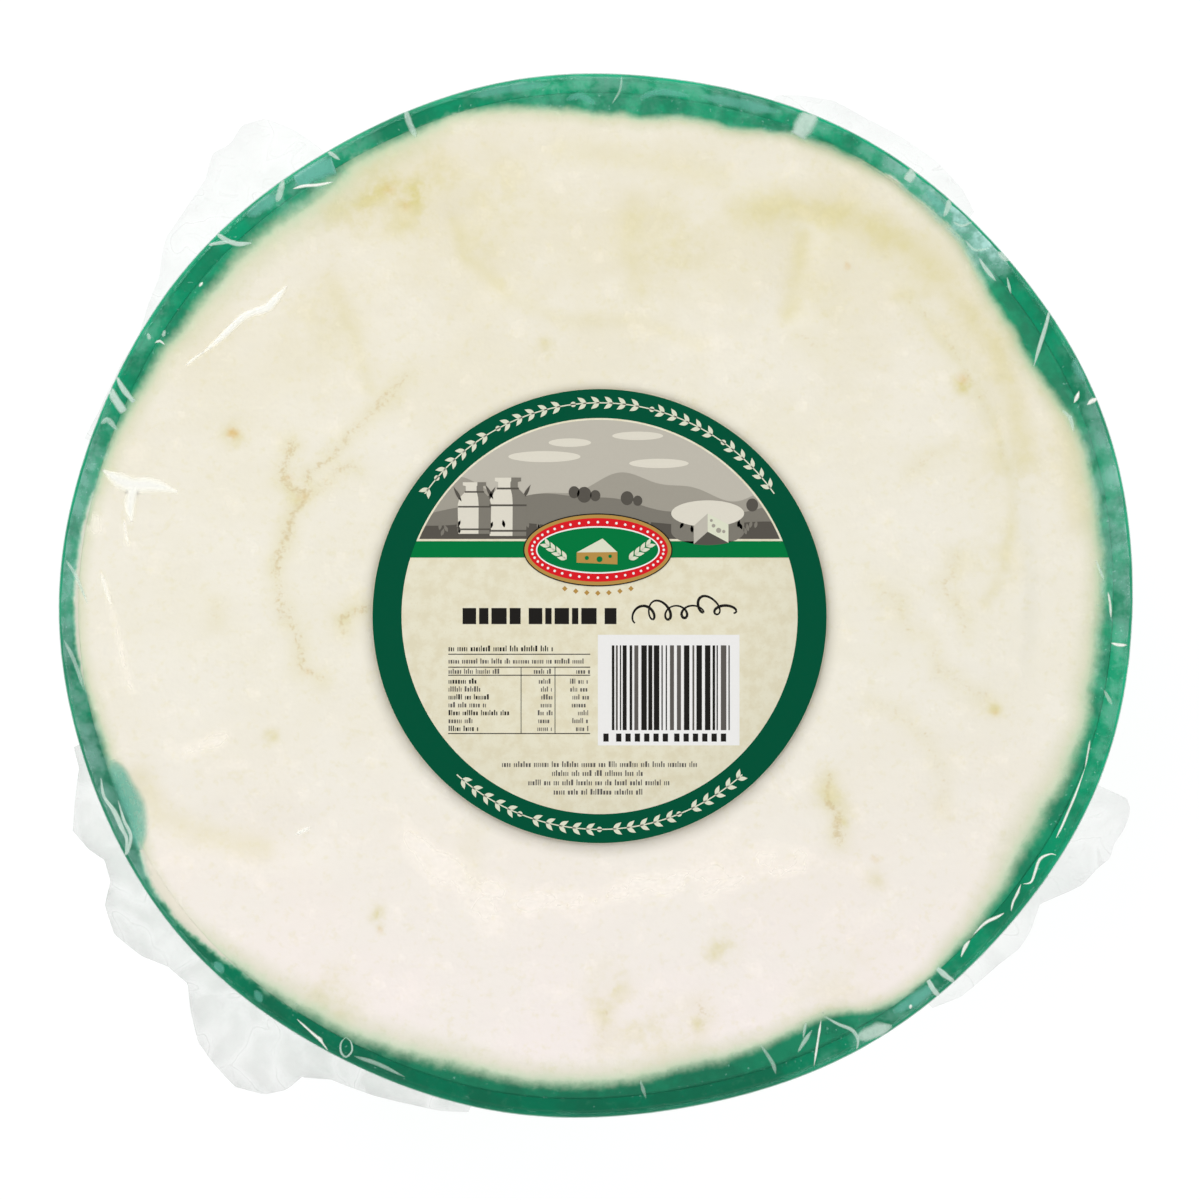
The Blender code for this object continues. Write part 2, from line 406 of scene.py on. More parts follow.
class Shader:
    """A material or a node group in the making, with short calls that add and join its nodes."""

    def __init__(self, tree: bpy.types.NodeTree) -> None:
        """Works in this node tree."""
        self.tree = tree

    @classmethod
    def material(cls, name: str) -> tuple["Shader", bpy.types.Material, bpy.types.Node]:
        """A new material with its shader maker and its Principled node."""
        made = bpy.data.materials.new(name)
        made.use_nodes = True
        return cls(made.node_tree), made, made.node_tree.nodes["Principled BSDF"]

    @classmethod
    def group(
        cls, name: str, inputs: dict[str, float | None], outputs: tuple[str, ...]
    ) -> tuple["Shader", Any, Any]:
        """Starts a node group.

        Args:
            name: The group's name.
            inputs: Each input's first value, or None for a vector.
            outputs: Names of the values that it puts out.

        Returns:
            The shader maker, the group's input node and its output node.
        """
        tree = bpy.data.node_groups.new(name, "ShaderNodeTree")
        for socket, value in inputs.items():
            kind = "NodeSocketVector" if value is None else "NodeSocketFloat"
            made = tree.interface.new_socket(socket, in_out="INPUT", socket_type=kind)
            if value is not None:
                made.default_value = value
        for socket in outputs:
            tree.interface.new_socket(socket, in_out="OUTPUT", socket_type="NodeSocketFloat")
        shader = cls(tree)
        return shader, shader.node("NodeGroupInput"), shader.node("NodeGroupOutput")

    def put(self, socket: Socket, value: Any) -> None:
        """Links a socket to another one, or sets its plain value."""
        if isinstance(value, bpy.types.NodeSocket):
            self.tree.links.new(value, socket)
        elif isinstance(value, tuple) and len(value) == 3 and socket.type == "RGBA":
            socket.default_value = (*value, 1.0)
        else:
            socket.default_value = value

    def node(self, kind: str, inputs: dict[Any, Any] | None = None, **settings: Any) -> bpy.types.Node:
        """Adds a node.

        Args:
            kind: The node's type, with or without its ShaderNode start.
            inputs: Values or sockets for its inputs, by name or number.
            settings: Its own settings.

        Returns:
            The node.
        """
        start = "" if kind.startswith("NodeGroup") else "ShaderNode"
        made = self.tree.nodes.new(start + kind)
        for name, value in settings.items():
            setattr(made, name, value)
        for name, value in (inputs or {}).items():
            self.put(made.inputs[name], value)
        return made

    def maths(self, operation: str, a: Any, b: Any = 0.0, clamp: bool = False) -> Socket:
        """One sum of two values, by the name that Blender has for it."""
        return self.node("Math", {0: a, 1: b}, operation=operation, use_clamp=clamp).outputs[0]

    def times(self, a: Any, b: Any, clamp: bool = False) -> Socket:
        """One value times another."""
        return self.maths("MULTIPLY", a, b, clamp)

    def plus(self, a: Any, b: Any, clamp: bool = False) -> Socket:
        """Two values added up."""
        return self.maths("ADD", a, b, clamp)

    def mix(self, share: Any, a: Any, b: Any) -> Socket:
        """Colour a where share is 0 and colour b where it is 1."""
        made = self.node("Mix", data_type="RGBA")
        for number, value in ((0, share), (6, a), (7, b)):
            self.put(made.inputs[number], value)
        return made.outputs[2]

    def span(self, value: Any, low: Any, high: Any, start: Any = 0.0, end: Any = 1.0) -> Socket:
        """A smooth rise from start to end as value goes from low to high."""
        inputs = {"Value": value, "From Min": low, "From Max": high, "To Min": start, "To Max": end}
        return self.node("MapRange", inputs, interpolation_type="SMOOTHSTEP").outputs[0]

    def vary(self, noise: Any, start: Any, end: Any) -> Socket:
        """A smooth rise from start to end as a noise goes from its usual low to its usual high."""
        return self.span(noise, NOISE_LOW, NOISE_HIGH, start, end)

    def places(self) -> Socket:
        """Object coordinates, in metres."""
        return self.node("TexCoord").outputs["Object"]

    def mark(self, name: str) -> Socket:
        """A number that the mesh keeps for each vertex."""
        return self.node("Attribute", attribute_name=name).outputs["Fac"]

    def noise(self, places: Socket, size: Any, detail: float = 3.0, **more: Any) -> Socket:
        """Noise whose waves are about this many metres long."""
        scale = self.maths("DIVIDE", 1.0, size) if isinstance(size, bpy.types.NodeSocket) else 1.0 / size
        inputs = {"Vector": places, "Scale": scale, "Detail": detail, **more}
        return self.node("TexNoise", inputs).outputs["Fac"]

    def use(self, group: bpy.types.NodeTree, **inputs: Any) -> bpy.types.Node:
        """Places a node group, with input names written with underscores."""
        made = self.node("Group", node_tree=group)
        for name, value in inputs.items():
            self.put(made.inputs[name.replace("_", " ").capitalize()], value)
        return made

    def bumped(self, height: Any, depth: float, strength: float) -> Socket:
        """A normal tilted by a height map whose full range is depth metres."""
        return self.node("Bump", {"Height": height, "Distance": depth, "Strength": strength}).outputs[0]

    def coat(
        self, skin: bpy.types.Node, colour: Any, roughness: Any, normal: Socket | None = None
    ) -> None:
        """Sets what most finishes set.

        Args:
            skin: The Principled node.
            colour: Its colour, as a socket or three numbers.
            roughness: Its roughness, as a socket or a number.
            normal: A tilted normal, where there is one.
        """
        self.put(skin.inputs["Base Color"], colour)
        self.put(skin.inputs["Roughness"], roughness)
        if normal is not None:
            self.put(skin.inputs["Normal"], normal)

    def clear_but_for(self, solid: Socket, skin: bpy.types.Node) -> None:
        """Makes the material see-through but for its solid share.

        Args:
            solid: How much of it is solid, from 0 to 1.
            skin: The Principled node that the solid share shows.
        """
        clear = self.node("BsdfTransparent")
        both = self.node("MixShader", {0: solid, 1: clear.outputs[0], 2: skin.outputs[0]})
        self.put(self.tree.nodes["Material Output"].inputs["Surface"], both.outputs[0])


class Effects:
    """The effects that several finishes share, each built once as a node group."""

    made: dict[str, bpy.types.NodeTree] = {}

    @classmethod
    def get(cls, name: str) -> bpy.types.NodeTree:
        """The group of that name, built when it is first asked for."""
        if name not in cls.made:
            cls.made[name] = getattr(cls, "build_" + name)()
        return cls.made[name]

    @staticmethod
    def build_mottle() -> bpy.types.NodeTree:
        """Soft blotches: one mask, from a noise whose middle part is stretched."""
        inputs = {"Vector": None, "Size": 10 * MM, "Low": 0.4, "High": 0.6}
        shader, given, out = Shader.group("mottle", inputs, ("Mask",))
        read = given.outputs
        blotches = shader.noise(read["Vector"], read["Size"], 4.0, Roughness=0.6)
        shader.put(out.inputs["Mask"], shader.span(blotches, read["Low"], read["High"]))
        return shader.tree

    @staticmethod
    def build_grain() -> bpy.types.NodeTree:
        """Fine grain: a value round 0.5, and the same grain sharpened into specks."""
        inputs = {"Vector": None, "Size": 0.6 * MM, "Specks": 0.68}
        shader, given, out = Shader.group("grain", inputs, ("Value", "Specks"))
        read = given.outputs
        fine = shader.noise(read["Vector"], read["Size"], 2.0, Roughness=0.65)
        edge = shader.plus(read["Specks"], 0.06)
        shader.put(out.inputs["Value"], fine)
        shader.put(out.inputs["Specks"], shader.span(fine, read["Specks"], edge))
        return shader.tree

    @staticmethod
    def build_creases() -> bpy.types.NodeTree:
        """Crumpled film: flat facets that meet in sharp creases, where a soft noise crosses its middle."""
        inputs = {"Vector": None, "Size": 8 * MM, "Width": 0.03}
        shader, given, out = Shader.group("creases", inputs, ("Ridges", "Facets"))
        read = given.outputs
        soft = shader.noise(read["Vector"], read["Size"], 2.0, Roughness=0.45, Distortion=0.4)
        away = shader.maths("ABSOLUTE", shader.maths("SUBTRACT", soft, 0.5))
        shader.put(out.inputs["Ridges"], shader.span(away, 0.0, read["Width"], 1.0, 0.0))
        shader.put(out.inputs["Facets"], away)
        return shader.tree


@dataclass(frozen=True)
class CurdFinish:
    """Fresh ricotta: moist cream-white curd, yellower where whey gathers, green where it is thin.

    Attributes:
        middle: Colour of the curd halfway up the picture, with top and bottom for its ends.
        whey: Colour of stains and streaks, with orange for spots and crack for whey and painted shade in
            cracks.
        pale: Colour of soft pale blotches.
        damp: Colour of the curd's edge, with wet_edge still nearer the green.
        green: Colour of the tub through the thinnest curd, with deep for blotches and dark for painted
            shade.
        shadow: Colour of the soft shadow round the label, and halo how strong it is.
    """

    middle: Colour = from_srgb(245, 240, 223)
    top: Colour = from_srgb(239, 232, 208)
    bottom: Colour = from_srgb(255, 246, 241)
    whey: Colour = from_srgb(224, 214, 150)
    orange: Colour = from_srgb(224, 186, 106)
    crack: Colour = from_srgb(214, 192, 140)
    pale: Colour = from_srgb(250, 246, 236)
    damp: Colour = from_srgb(208, 213, 170)
    wet_edge: Colour = from_srgb(188, 226, 190)
    green: Colour = from_srgb(16, 178, 130)
    deep: Colour = from_srgb(8, 154, 112)
    # The colour of painted shade on the green
    dark: Colour = from_srgb(2, 98, 72)
    shadow: Colour = from_srgb(150, 146, 130)
    halo: float = 0.42

    def material(self) -> bpy.types.Material:
        """Builds the material."""
        shader, made, skin = Shader.material("ricotta_curd")
        places = shader.places()
        y = shader.node("SeparateXYZ", {0: places}).outputs["Y"]
        colour = shader.mix(shader.span(y, -0.11, -0.01), self.bottom, self.middle)
        colour = shader.mix(shader.span(y, 0.0, 0.10), colour, self.top)
        broad = shader.use(Effects.get("mottle"), vector=places, size=22 * MM, low=0.38, high=0.66)
        colour = shader.mix(shader.times(broad.outputs[0], 0.40), colour, self.pale)
        broken = shader.noise(places, 2.4 * MM, 4.0, Roughness=0.72)
        colour = shader.mix(shader.span(broken, 0.52, 0.70, 0.0, 0.20), colour, self.whey)
        patchy = shader.noise(places, 6 * MM, 4.0, Roughness=0.6)
        stain = shader.times(shader.mark("stain"), shader.span(patchy, 0.38, 0.60, 0.30, 1.35), clamp=True)
        colour = shader.mix(stain, colour, self.whey)
        streak = shader.times(shader.mark("streak"), shader.vary(patchy, 0.7, 1.2), clamp=True)
        colour = shader.mix(streak, colour, self.whey)
        spot = shader.times(shader.mark("spot"), shader.span(broken, 0.35, 0.55, 0.3, 1.0), clamp=True)
        colour = shader.mix(spot, colour, self.orange)
        crumbly = shader.noise(places, 1.3 * MM, 5.0, Roughness=0.85)
        gap = shader.plus(shader.times(shader.mark("crack"), 0.26), crumbly)
        gap = shader.span(gap, 0.64, 0.82)
        # The cracks get colour rather than deep grooves: their tan is whey and painted shade
        colour = shader.mix(shader.times(gap, 0.62), colour, self.crack)
        fringe = shader.plus(shader.mark("fringe"), shader.vary(broken, -0.07, 0.07))
        colour = shader.mix(shader.span(fringe, -1.1, 0.3, 0.0, 0.5), colour, self.damp)
        colour = shader.mix(shader.span(fringe, -0.2, 0.6, 0.0, 0.6), colour, self.wet_edge)
        green = shader.mix(shader.span(patchy, 0.40, 0.60), self.green, self.deep)
        # Painted shade: the fringe's green darkens by direction, as the lip's does
        green = shader.mix(shader.times(shader.mark("dusk"), 0.75), green, self.dark)
        colour = shader.mix(shader.span(fringe, 0.22, 0.95), colour, green)
        shade = shader.times(shader.mark("shade"), self.halo)
        lumps = shader.bumped(shader.noise(places, 3.2 * MM, 2.0), 0.35 * MM, 0.4)
        moist = shader.vary(broken, 0.44, 0.58)
        shader.coat(skin, shader.mix(shade, colour, self.shadow), moist, lumps)
        return made


@dataclass(frozen=True)
class TubFinish:
    """Glossy green plastic, with a little whey smeared over its rim under the film."""

    green: Colour = from_srgb(10, 184, 134)
    deep: Colour = from_srgb(4, 154, 110)
    # The colour of painted shade on the green
    dark: Colour = from_srgb(2, 98, 72)
    wet: Colour = from_srgb(150, 205, 172)
    milk: Colour = from_srgb(240, 234, 217)
    specular: float = 0.35

    def material(self) -> bpy.types.Material:
        """Builds the material."""
        shader, made, skin = Shader.material("tub_plastic")
        places = shader.places()
        cloud = shader.use(Effects.get("mottle"), vector=places, size=13 * MM, low=0.40, high=0.62)
        uneven = shader.times(cloud.outputs[0], shader.mark("uneven"))
        colour = shader.mix(uneven, self.green, self.deep)
        # Painted shade: the green darkens by direction towards the dark green, away from the light
        colour = shader.mix(shader.mark("dusk"), colour, self.dark)
        drops = shader.use(Effects.get("grain"), vector=places, size=1.6 * MM, specks=0.64)
        ragged = shader.vary(drops.outputs["Value"], -0.12, 0.12)
        smeared = shader.plus(shader.mark("milk"), ragged)
        colour = shader.mix(shader.span(smeared, 0.05, 0.6), colour, self.wet)
        colour = shader.mix(shader.span(smeared, 0.35, 0.85), colour, self.milk)
        polish = shader.span(cloud.outputs[0], 0.0, 1.0, 0.34, 0.44)
        shader.coat(skin, colour, polish, shader.bumped(drops.outputs["Value"], 0.04 * MM, 0.5))
        skin.inputs["Specular IOR Level"].default_value = self.specular
        return made


@dataclass(frozen=True)
class FilmFinish:
    """Clear vacuum film: it mirrors a little, is milky where creased, and shows bubbles as painted glints.
    """

    milk: Colour = from_srgb(180, 229, 220)

    def material(self) -> bpy.types.Material:
        """Builds the material: see-through, but a mirror at its gloss and solid where it is milky."""
        shader, made, skin = Shader.material("vacuum_film")
        places = shader.places()
        crumple, gloss = shader.mark("crumple"), shader.mark("gloss")
        creases = shader.use(Effects.get("creases"), vector=places, size=7 * MM, width=0.02)
        bubbles = shader.use(Effects.get("grain"), vector=places, size=1.1 * MM, specks=0.66)
        cloud = shader.noise(places, 5 * MM, 3.0, Roughness=0.65)
        milky_and_sheen = shader.times(shader.mark("haze"), shader.span(cloud, 0.35, 0.65, 0.45, 1.3))
        ridges = shader.times(creases.outputs["Ridges"], crumple)
        milky_and_sheen = shader.plus(milky_and_sheen, shader.times(ridges, 0.2))
        # The bubbles' bright specks are painted glints, stronger where the film is glossy
        specks = shader.times(bubbles.outputs["Specks"], gloss)
        milky_and_sheen = shader.plus(milky_and_sheen, shader.times(specks, 0.22), clamp=True)
        fresnel = shader.node("LayerWeight", {"Blend": 0.33}).outputs["Fresnel"]
        mirrored = shader.times(fresnel, shader.times(gloss, 0.8))
        shader.put(skin.inputs["Metallic"], shader.span(milky_and_sheen, 0.02, 0.16, 1.0, 0.0))
        facets = shader.bumped(shader.times(creases.outputs["Facets"], crumple), 4.0 * MM, 0.8)
        shader.coat(skin, self.milk, shader.span(gloss, 0.3, 0.9, 0.4, 0.1), facets)
        shader.clear_but_for(shader.maths("MAXIMUM", milky_and_sheen, mirrored), skin)
        return made


@dataclass(frozen=True)
class ClingFinish:
    """The same film where it clings to the curd: hardly there, but for a painted sheen and painted whitish
    smears.
    """

    milk: Colour = from_srgb(255, 251, 246)
    # How strong the painted sheen is
    sheen: float = 0.12

    def material(self) -> bpy.types.Material:
        """Builds the material."""
        shader, made, skin = Shader.material("vacuum_film_clinging")
        places = shader.places()
        streaks = shader.noise(places, 6 * MM, 2.0)
        # Painted reflection: whitish smears and a faint streaky sheen where the film would mirror light
        # broadly
        sheen_smears = shader.times(shader.mark("smear"), shader.span(streaks, 0.30, 0.65, 0.12, 0.62))
        milky_and_sheen = shader.plus(sheen_smears, shader.span(streaks, 0.55, 0.75, 0.0, self.sheen))
        shader.coat(skin, self.milk, shader.vary(streaks, 0.32, 0.42))
        shader.clear_but_for(milky_and_sheen, skin)
        return made


@dataclass(frozen=True)
class SpareFinish:
    """The loose film past the seam: flat panels between creases, their milkiness varied as painted light
    and shade.
    """

    milk: Colour = from_srgb(218, 219, 215)

    def material(self) -> bpy.types.Material:
        """Builds the material."""
        shader, made, skin = Shader.material("vacuum_film_spare")
        places = shader.places()
        creases = shader.use(Effects.get("creases"), vector=places, size=16 * MM, width=0.008)
        fine = shader.use(Effects.get("creases"), vector=places, size=5 * MM, width=0.015)
        # Painted light and shade: each panel is made more or less milky as if it faced the light more or
        # less
        facing = shader.span(creases.outputs["Facets"], 0.0, 0.14, 0.7, 1.25)
        level = shader.times(facing, shader.mark("haze"))
        faint = shader.times(fine.outputs["Ridges"], 0.4)
        lines = shader.maths("MAXIMUM", creases.outputs["Ridges"], faint)
        shader.coat(skin, self.milk, shader.span(creases.outputs["Facets"], 0.0, 0.2, 0.2, 0.35))
        shader.clear_but_for(shader.plus(level, shader.times(lines, 0.07), clamp=True), skin)
        return made


@dataclass(frozen=True)
class FoldFinish:
    """A fold of the film, which fades out to both sides.

    Attributes:
        name: The material's name.
        colour: Colour of the fold where light catches it.
        sharp: How suddenly it ends at its sides, from 0, soft, to 1, crisp.
        solid: How solid it is along its middle.
        roughness: Roughness of its gloss.
    """

    name: str
    colour: Colour
    sharp: float
    solid: float
    roughness: float = 0.18

    def material(self) -> bpy.types.Material:
        """Builds the material."""
        shader, made, skin = Shader.material(self.name)
        places = shader.places()
        streaks = shader.use(Effects.get("mottle"), vector=places, size=2.2 * MM, low=0.3, high=0.6)
        side = shader.span(shader.mark("across"), self.sharp * 0.9, 1.0, 1.0, 0.0)
        worn = shader.span(streaks.outputs[0], 0.0, 1.0, 0.78, 1.0)
        solid = shader.times(shader.times(side, worn), shader.mark("strength"))
        shader.coat(skin, self.colour, self.roughness)
        shader.clear_but_for(shader.times(solid, self.solid, clamp=True), skin)
        return made


@dataclass(frozen=True)
class PaperFinish:
    """The label's coated paper, cream with a faint parchment mottle."""

    light: Colour = from_srgb(236, 231, 207)
    dark: Colour = from_srgb(225, 216, 184)
    specular: float = 0.3

    def material(self) -> bpy.types.Material:
        """Builds the material."""
        shader, made, skin = Shader.material("label_paper")
        places = shader.places()
        fibres = shader.use(Effects.get("mottle"), vector=places, size=3.2 * MM, low=0.36, high=0.68)
        grain = shader.use(Effects.get("grain"), vector=places, size=0.6 * MM, specks=0.62)
        colour = shader.mix(shader.times(fibres.outputs[0], 0.7), self.light, self.dark)
        colour = shader.mix(shader.times(grain.outputs["Specks"], 0.5), colour, self.dark)
        matt = shader.vary(grain.outputs["Value"], 0.5, 0.62)
        shader.coat(skin, colour, matt, shader.bumped(grain.outputs["Value"], 0.02 * MM, 0.4))
        skin.inputs["Specular IOR Level"].default_value = self.specular
        return made


class Ink(Enum):
    """The inks on the label, each with its screen colour."""

    BORDER = (0, 84, 57)
    BAND = (1, 122, 63)
    BLACK = (34, 32, 30)
    GREY = (96, 92, 88)
    WHITE = (244, 243, 241)
    CREAM = (226, 228, 205)
    RED = (222, 30, 40)
    GOLD = (186, 146, 76)
    SKY = (196, 191, 178)
    FAR = (166, 161, 149)
    NEAR = (130, 126, 116)
    SHADE = (90, 86, 79)
    PALE = (228, 223, 208)

    def material(self) -> bpy.types.Material:
        """Builds this ink's material, slightly uneven as print is."""
        shader, made, skin = Shader.material("ink_" + self.name.lower())
        places = shader.places()
        grain = shader.use(Effects.get("grain"), vector=places, size=0.5 * MM, specks=0.66)
        full = from_srgb(*self.value)
        thin = tuple(0.9 * channel + 0.006 for channel in full)
        colour = shader.mix(shader.times(grain.outputs["Value"], 0.5), full, thin)
        shader.coat(skin, colour, shader.vary(grain.outputs["Value"], 0.4, 0.5))
        skin.inputs["Specular IOR Level"].default_value = INK_SPECULAR
        return made


@dataclass
class RicottaWheel:
    """The wheel of curd: a crowned top with a ledge, furrows, cracks and pits, and a ragged wet edge.

    Attributes:
        form: Outline of the pack.
        steps: Faces round the wheel.
        flat_radius: Where the flat middle under the label ends.
        mean_edge: Ring of faces on the round wheel that goes along the ragged edge of the curd.
        outer_zone: Ring outside which the faces are drawn towards that edge.
        edge_drop: How far the curd at the wall lies below the rim.
        wall_gap: Gap between the curd and the wall at the rim.
        corner: Rounding of the wheel's foot.
        ring_widths: How wide the green ring outside the curd looks, as (degrees, millimetres).
        softness: How far the curd's edge fades into the green on each side, as (degrees, millimetres).
        ledge_radius: Where the mould's ledge begins. It is ledge_width wide and ledge_drop deep.
        furrows: Soft valleys, as (line, half width, depth).
        cracks: Cracks, as (line, strength).
        stains: Patches of whey, as (place, radius in pixels, strength), and spots in the same way.
        streak_lines: Streaks of whey, as (line, half width in pixels, strength).
        lumps: Layers of random waves that make the curd lumpy, and tears those that make its edge ragged.
        crack_depth: Depth of a crack, with spot_depth for a spot.
        crack_relief: Half width of a crack's groove, of its stain and of the soft streak along it.
        wander: How far cracks stray from their lines, and the size and seeds of that.
        halo: Width of the label's soft shadow.
        dusk: Painted shade darkening the green on the side away from the light, as (degrees, share).
    """

    form: PackForm
    steps: int = 800
    flat_radius: float = 60 * MM
    mean_edge: float = 117.0 * MM
    outer_zone: float = 96.0 * MM
    edge_drop: float = 0.2 * MM
    wall_gap: float = 0.03 * MM
    corner: float = 6.0 * MM
    ring_widths: tuple = (
        (0, 7.3), (6, 6.8), (12, 6.6), (17, 6.2), (21, 7.4), (25, 9.2), (30, 9.6), (36, 8.9), (40, 7.6),
        (43, 5.6), (46, 4.6), (49, 5.2), (51, 4.6), (53, 4.4), (56, 4.4), (59, 4.6), (63, 5.7), (69, 6.6),
        (72, 8.2), (75, 9.0), (79, 8.5), (84, 9.7), (91, 9.0), (100, 6.4), (106, 4.3), (113, 5.2),
        (117, 4.8), (120, 5.0), (123, 7.0), (127, 8.0), (131, 6.8), (134, 7.2), (142, 7.9), (146, 7.9),
        (150, 6.6), (156, 6.4), (160, 4.8), (166, 4.6), (174, 3.6), (182, 3.2), (190, 4.2), (196, 5.6),
        (201, 5.4), (204, 5.8), (208, 4.0), (213, 1.6), (219, 2.2), (226, 4.2), (234, 5.6), (242, 6.2),
        (249, 7.6), (253, 8.5), (258, 8.0), (266, 7.6), (274, 8.0), (282, 9.6), (287, 9.2), (291, 9.8),
        (297, 11.1), (300, 10.2), (303, 6.3), (308, 4.5), (312, 4.4), (316, 5.2), (324, 6.8), (332, 8.8),
        (340, 7.8), (346, 7.0), (350, 8.2), (354, 8.2),
    )
    softness: tuple = (
        (0, 2.0), (30, 1.4), (50, 1.1), (70, 1.0), (88, 1.4), (104, 1.6), (122, 3.6), (135, 3.0),
        (150, 2.0), (180, 1.4), (203, 1.4), (215, 1.6), (235, 3.0), (260, 2.4), (285, 2.2), (298, 1.4),
        (312, 1.5), (332, 3.0), (345, 2.4),
    )
    ledge_radius: float = 100 * MM
    ledge_width: float = 5 * MM
    ledge_drop: float = 1.4 * MM
    ledge_direction: float = math.radians(33)
    ledge_spread: float = math.radians(34)
    furrows: tuple = (
        (((459, 222), (466, 250), (490, 278)), 4.5 * MM, 1.2 * MM),
        (((806, 228), (796, 262), (788, 308)), 5.0 * MM, 1.2 * MM),
        (((141, 800), (200, 829), (301, 838)), 6.0 * MM, 1.4 * MM),
        (((630, 215), (672, 238), (700, 262)), 7.0 * MM, 0.5 * MM),
        (((350, 262), (345, 330), (372, 392)), 8.0 * MM, 0.5 * MM),
    )
    cracks: tuple = (
        (((291, 444), (284, 466), (287, 482), (306, 497), (293, 512), (287, 536), (275, 574)), 1.0),
        (((275, 574), (281, 602), (298, 635), (300, 655), (306, 673), (318, 680)), 0.75),
        (((405, 375), (386, 398), (367, 421), (349, 436), (329, 459), (312, 470), (306, 497)), 0.8),
        (((365, 605), (352, 612), (341, 618), (346, 632)), 0.8),
        (((306, 497), (322, 492), (338, 470), (352, 466)), 0.7),
        (((829, 778), (827, 800), (836, 812), (840, 838)), 1.0),
        (((955, 556), (944, 585), (958, 604), (966, 628)), 0.6),
        (((876, 585), (896, 600), (903, 622), (926, 636), (940, 668), (966, 690), (996, 706)), 0.55),
        (((870, 700), (905, 716), (930, 744), (946, 790), (942, 812)), 0.5),
        (((912, 470), (930, 455), (948, 452)), 0.5),
        (((796, 335), (812, 348), (826, 352)), 0.5),
        (((903, 298), (940, 330), (964, 367), (985, 398), (995, 428), (1004, 458)), 0.55),
        (((478, 830), (470, 850), (474, 880)), 0.35),
        (((215, 600), (216, 622)), 0.5),
        (((700, 1000), (704, 1022), (694, 1040)), 0.55),
        (((606, 1010), (610, 1030), (604, 1044)), 0.5),
    )
    stains: tuple = (
        ((376, 190), 34, 0.75), ((415, 200), 24, 0.8), ((340, 208), 20, 0.45), ((440, 178), 30, 0.4),
        ((500, 196), 40, 0.25), ((836, 218), 34, 0.25), ((885, 232), 30, 0.25), ((925, 262), 26, 0.3),
        ((780, 206), 28, 0.2), ((965, 320), 30, 0.2), ((985, 380), 30, 0.2), ((962, 384), 10, 1.0),
        ((375, 911), 8, 0.65), ((381, 926), 5, 0.65), ((723, 948), 14, 0.5), ((714, 956), 9, 0.45),
        ((612, 990), 20, 0.35), ((604, 1006), 16, 0.35), ((700, 1022), 8, 0.5), ((831, 797), 16, 0.4),
        ((838, 826), 7, 0.6), ((995, 708), 6, 0.7), ((300, 496), 12, 0.5), ((272, 735), 7, 0.5),
        ((545, 345), 6, 0.5), ((1008, 335), 26, 0.3),
        ((1010, 470), 34, 0.25), ((820, 300), 26, 0.2), ((480, 250), 22, 0.3), ((1000, 560), 40, 0.18),
        ((650, 1040), 30, 0.25), ((320, 330), 40, 0.15), ((233, 433), 12, 0.4), ((840, 1000), 40, 0.15),
        ((330, 1000), 26, 0.3), ((875, 880), 10, 0.3), ((345, 615), 9, 0.5), ((672, 240), 40, 0.25),
    )
    spots: tuple = (
        ((233, 433), 4.5, 1.0), ((847, 266), 2.6, 0.8), ((303, 497), 5.0, 0.55), ((962, 378), 5.0, 0.6),
        ((289, 478), 3.5, 0.5), ((836, 822), 3.5, 0.3), ((995, 712), 3.0, 0.4), ((308, 672), 3.5, 0.45),
        ((380, 930), 2.5, 0.5), ((874, 860), 2.5, 0.5), ((388, 190), 6.0, 0.4), ((404, 206), 5.0, 0.4),
    )
    streak_lines: tuple = (
        (((900, 292), (950, 350), (990, 410), (1010, 470), (1013, 520), (1002, 570), (985, 604)), 6, 0.30),
        (((455, 222), (468, 258), (500, 286)), 8, 0.40),
        (((803, 236), (797, 272), (788, 316)), 10, 0.45),
        (((636, 205), (628, 250), (640, 290)), 12, 0.28),
        (((140, 776), (157, 813), (198, 833), (262, 848)), 14, 0.30),
        (((742, 212), (790, 206), (836, 214), (880, 230), (915, 252), (940, 276)), 17, 0.55),
        (((940, 276), (925, 292), (900, 296)), 9, 0.35),
        (((946, 290), (978, 322), (1000, 356), (1016, 405), (1024, 460)), 12, 0.40),
        (((330, 280), (352, 330), (372, 392)), 8, 0.22),
        (((505, 296), (560, 320), (640, 322), (700, 344)), 9, 0.22),
        (((1010, 250), (1040, 330), (1066, 420), (1080, 520)), 16, 0.35),
        (((560, 150), (640, 158), (720, 176)), 14, 0.25),
    )
    lumps: tuple = ((0.16 * MM, 9 * MM, 1.0), (0.09 * MM, 3.6 * MM, 5.0), (0.05 * MM, 1.7 * MM, 9.0))
    tears: tuple = ((0.5 * MM, 7 * MM, 3.0), (0.35 * MM, 3 * MM, 8.0))
    crack_depth: float = 0.07 * MM
    spot_depth: float = 0.15 * MM
    crack_relief: tuple = (0.9 * MM, 1.5 * MM, 3.0 * MM)
    wander: tuple = (1.1 * MM, 4 * MM, (21.0, 27.0))
    halo: float = 3.4 * MM
    # Painted shade: the green ring is darkened by direction, most on the lower left, away from the light
    dusk: tuple = (
        (0, 0.05), (20, 0.25), (45, 0.2), (70, 0.1), (90, 0.0), (110, 0.2), (140, 0.15), (170, 0.3),
        (195, 0.5), (215, 0.6), (240, 0.72), (270, 0.7), (290, 0.6), (302, 0.35), (330, 0.25),
        (350, 0.05),
    )

    def __post_init__(self) -> None:
        """Spaces the tables by direction evenly, and finds the label."""
        self.widths = by_direction(self.ring_widths) * MM
        self.fades = by_direction(self.softness) * MM
        self.painted_shade_levels = by_direction(self.dusk)
        low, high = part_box("label")
        self.label_centre = (low + high) / 2
        self.label_radius = high.x - self.label_centre.x

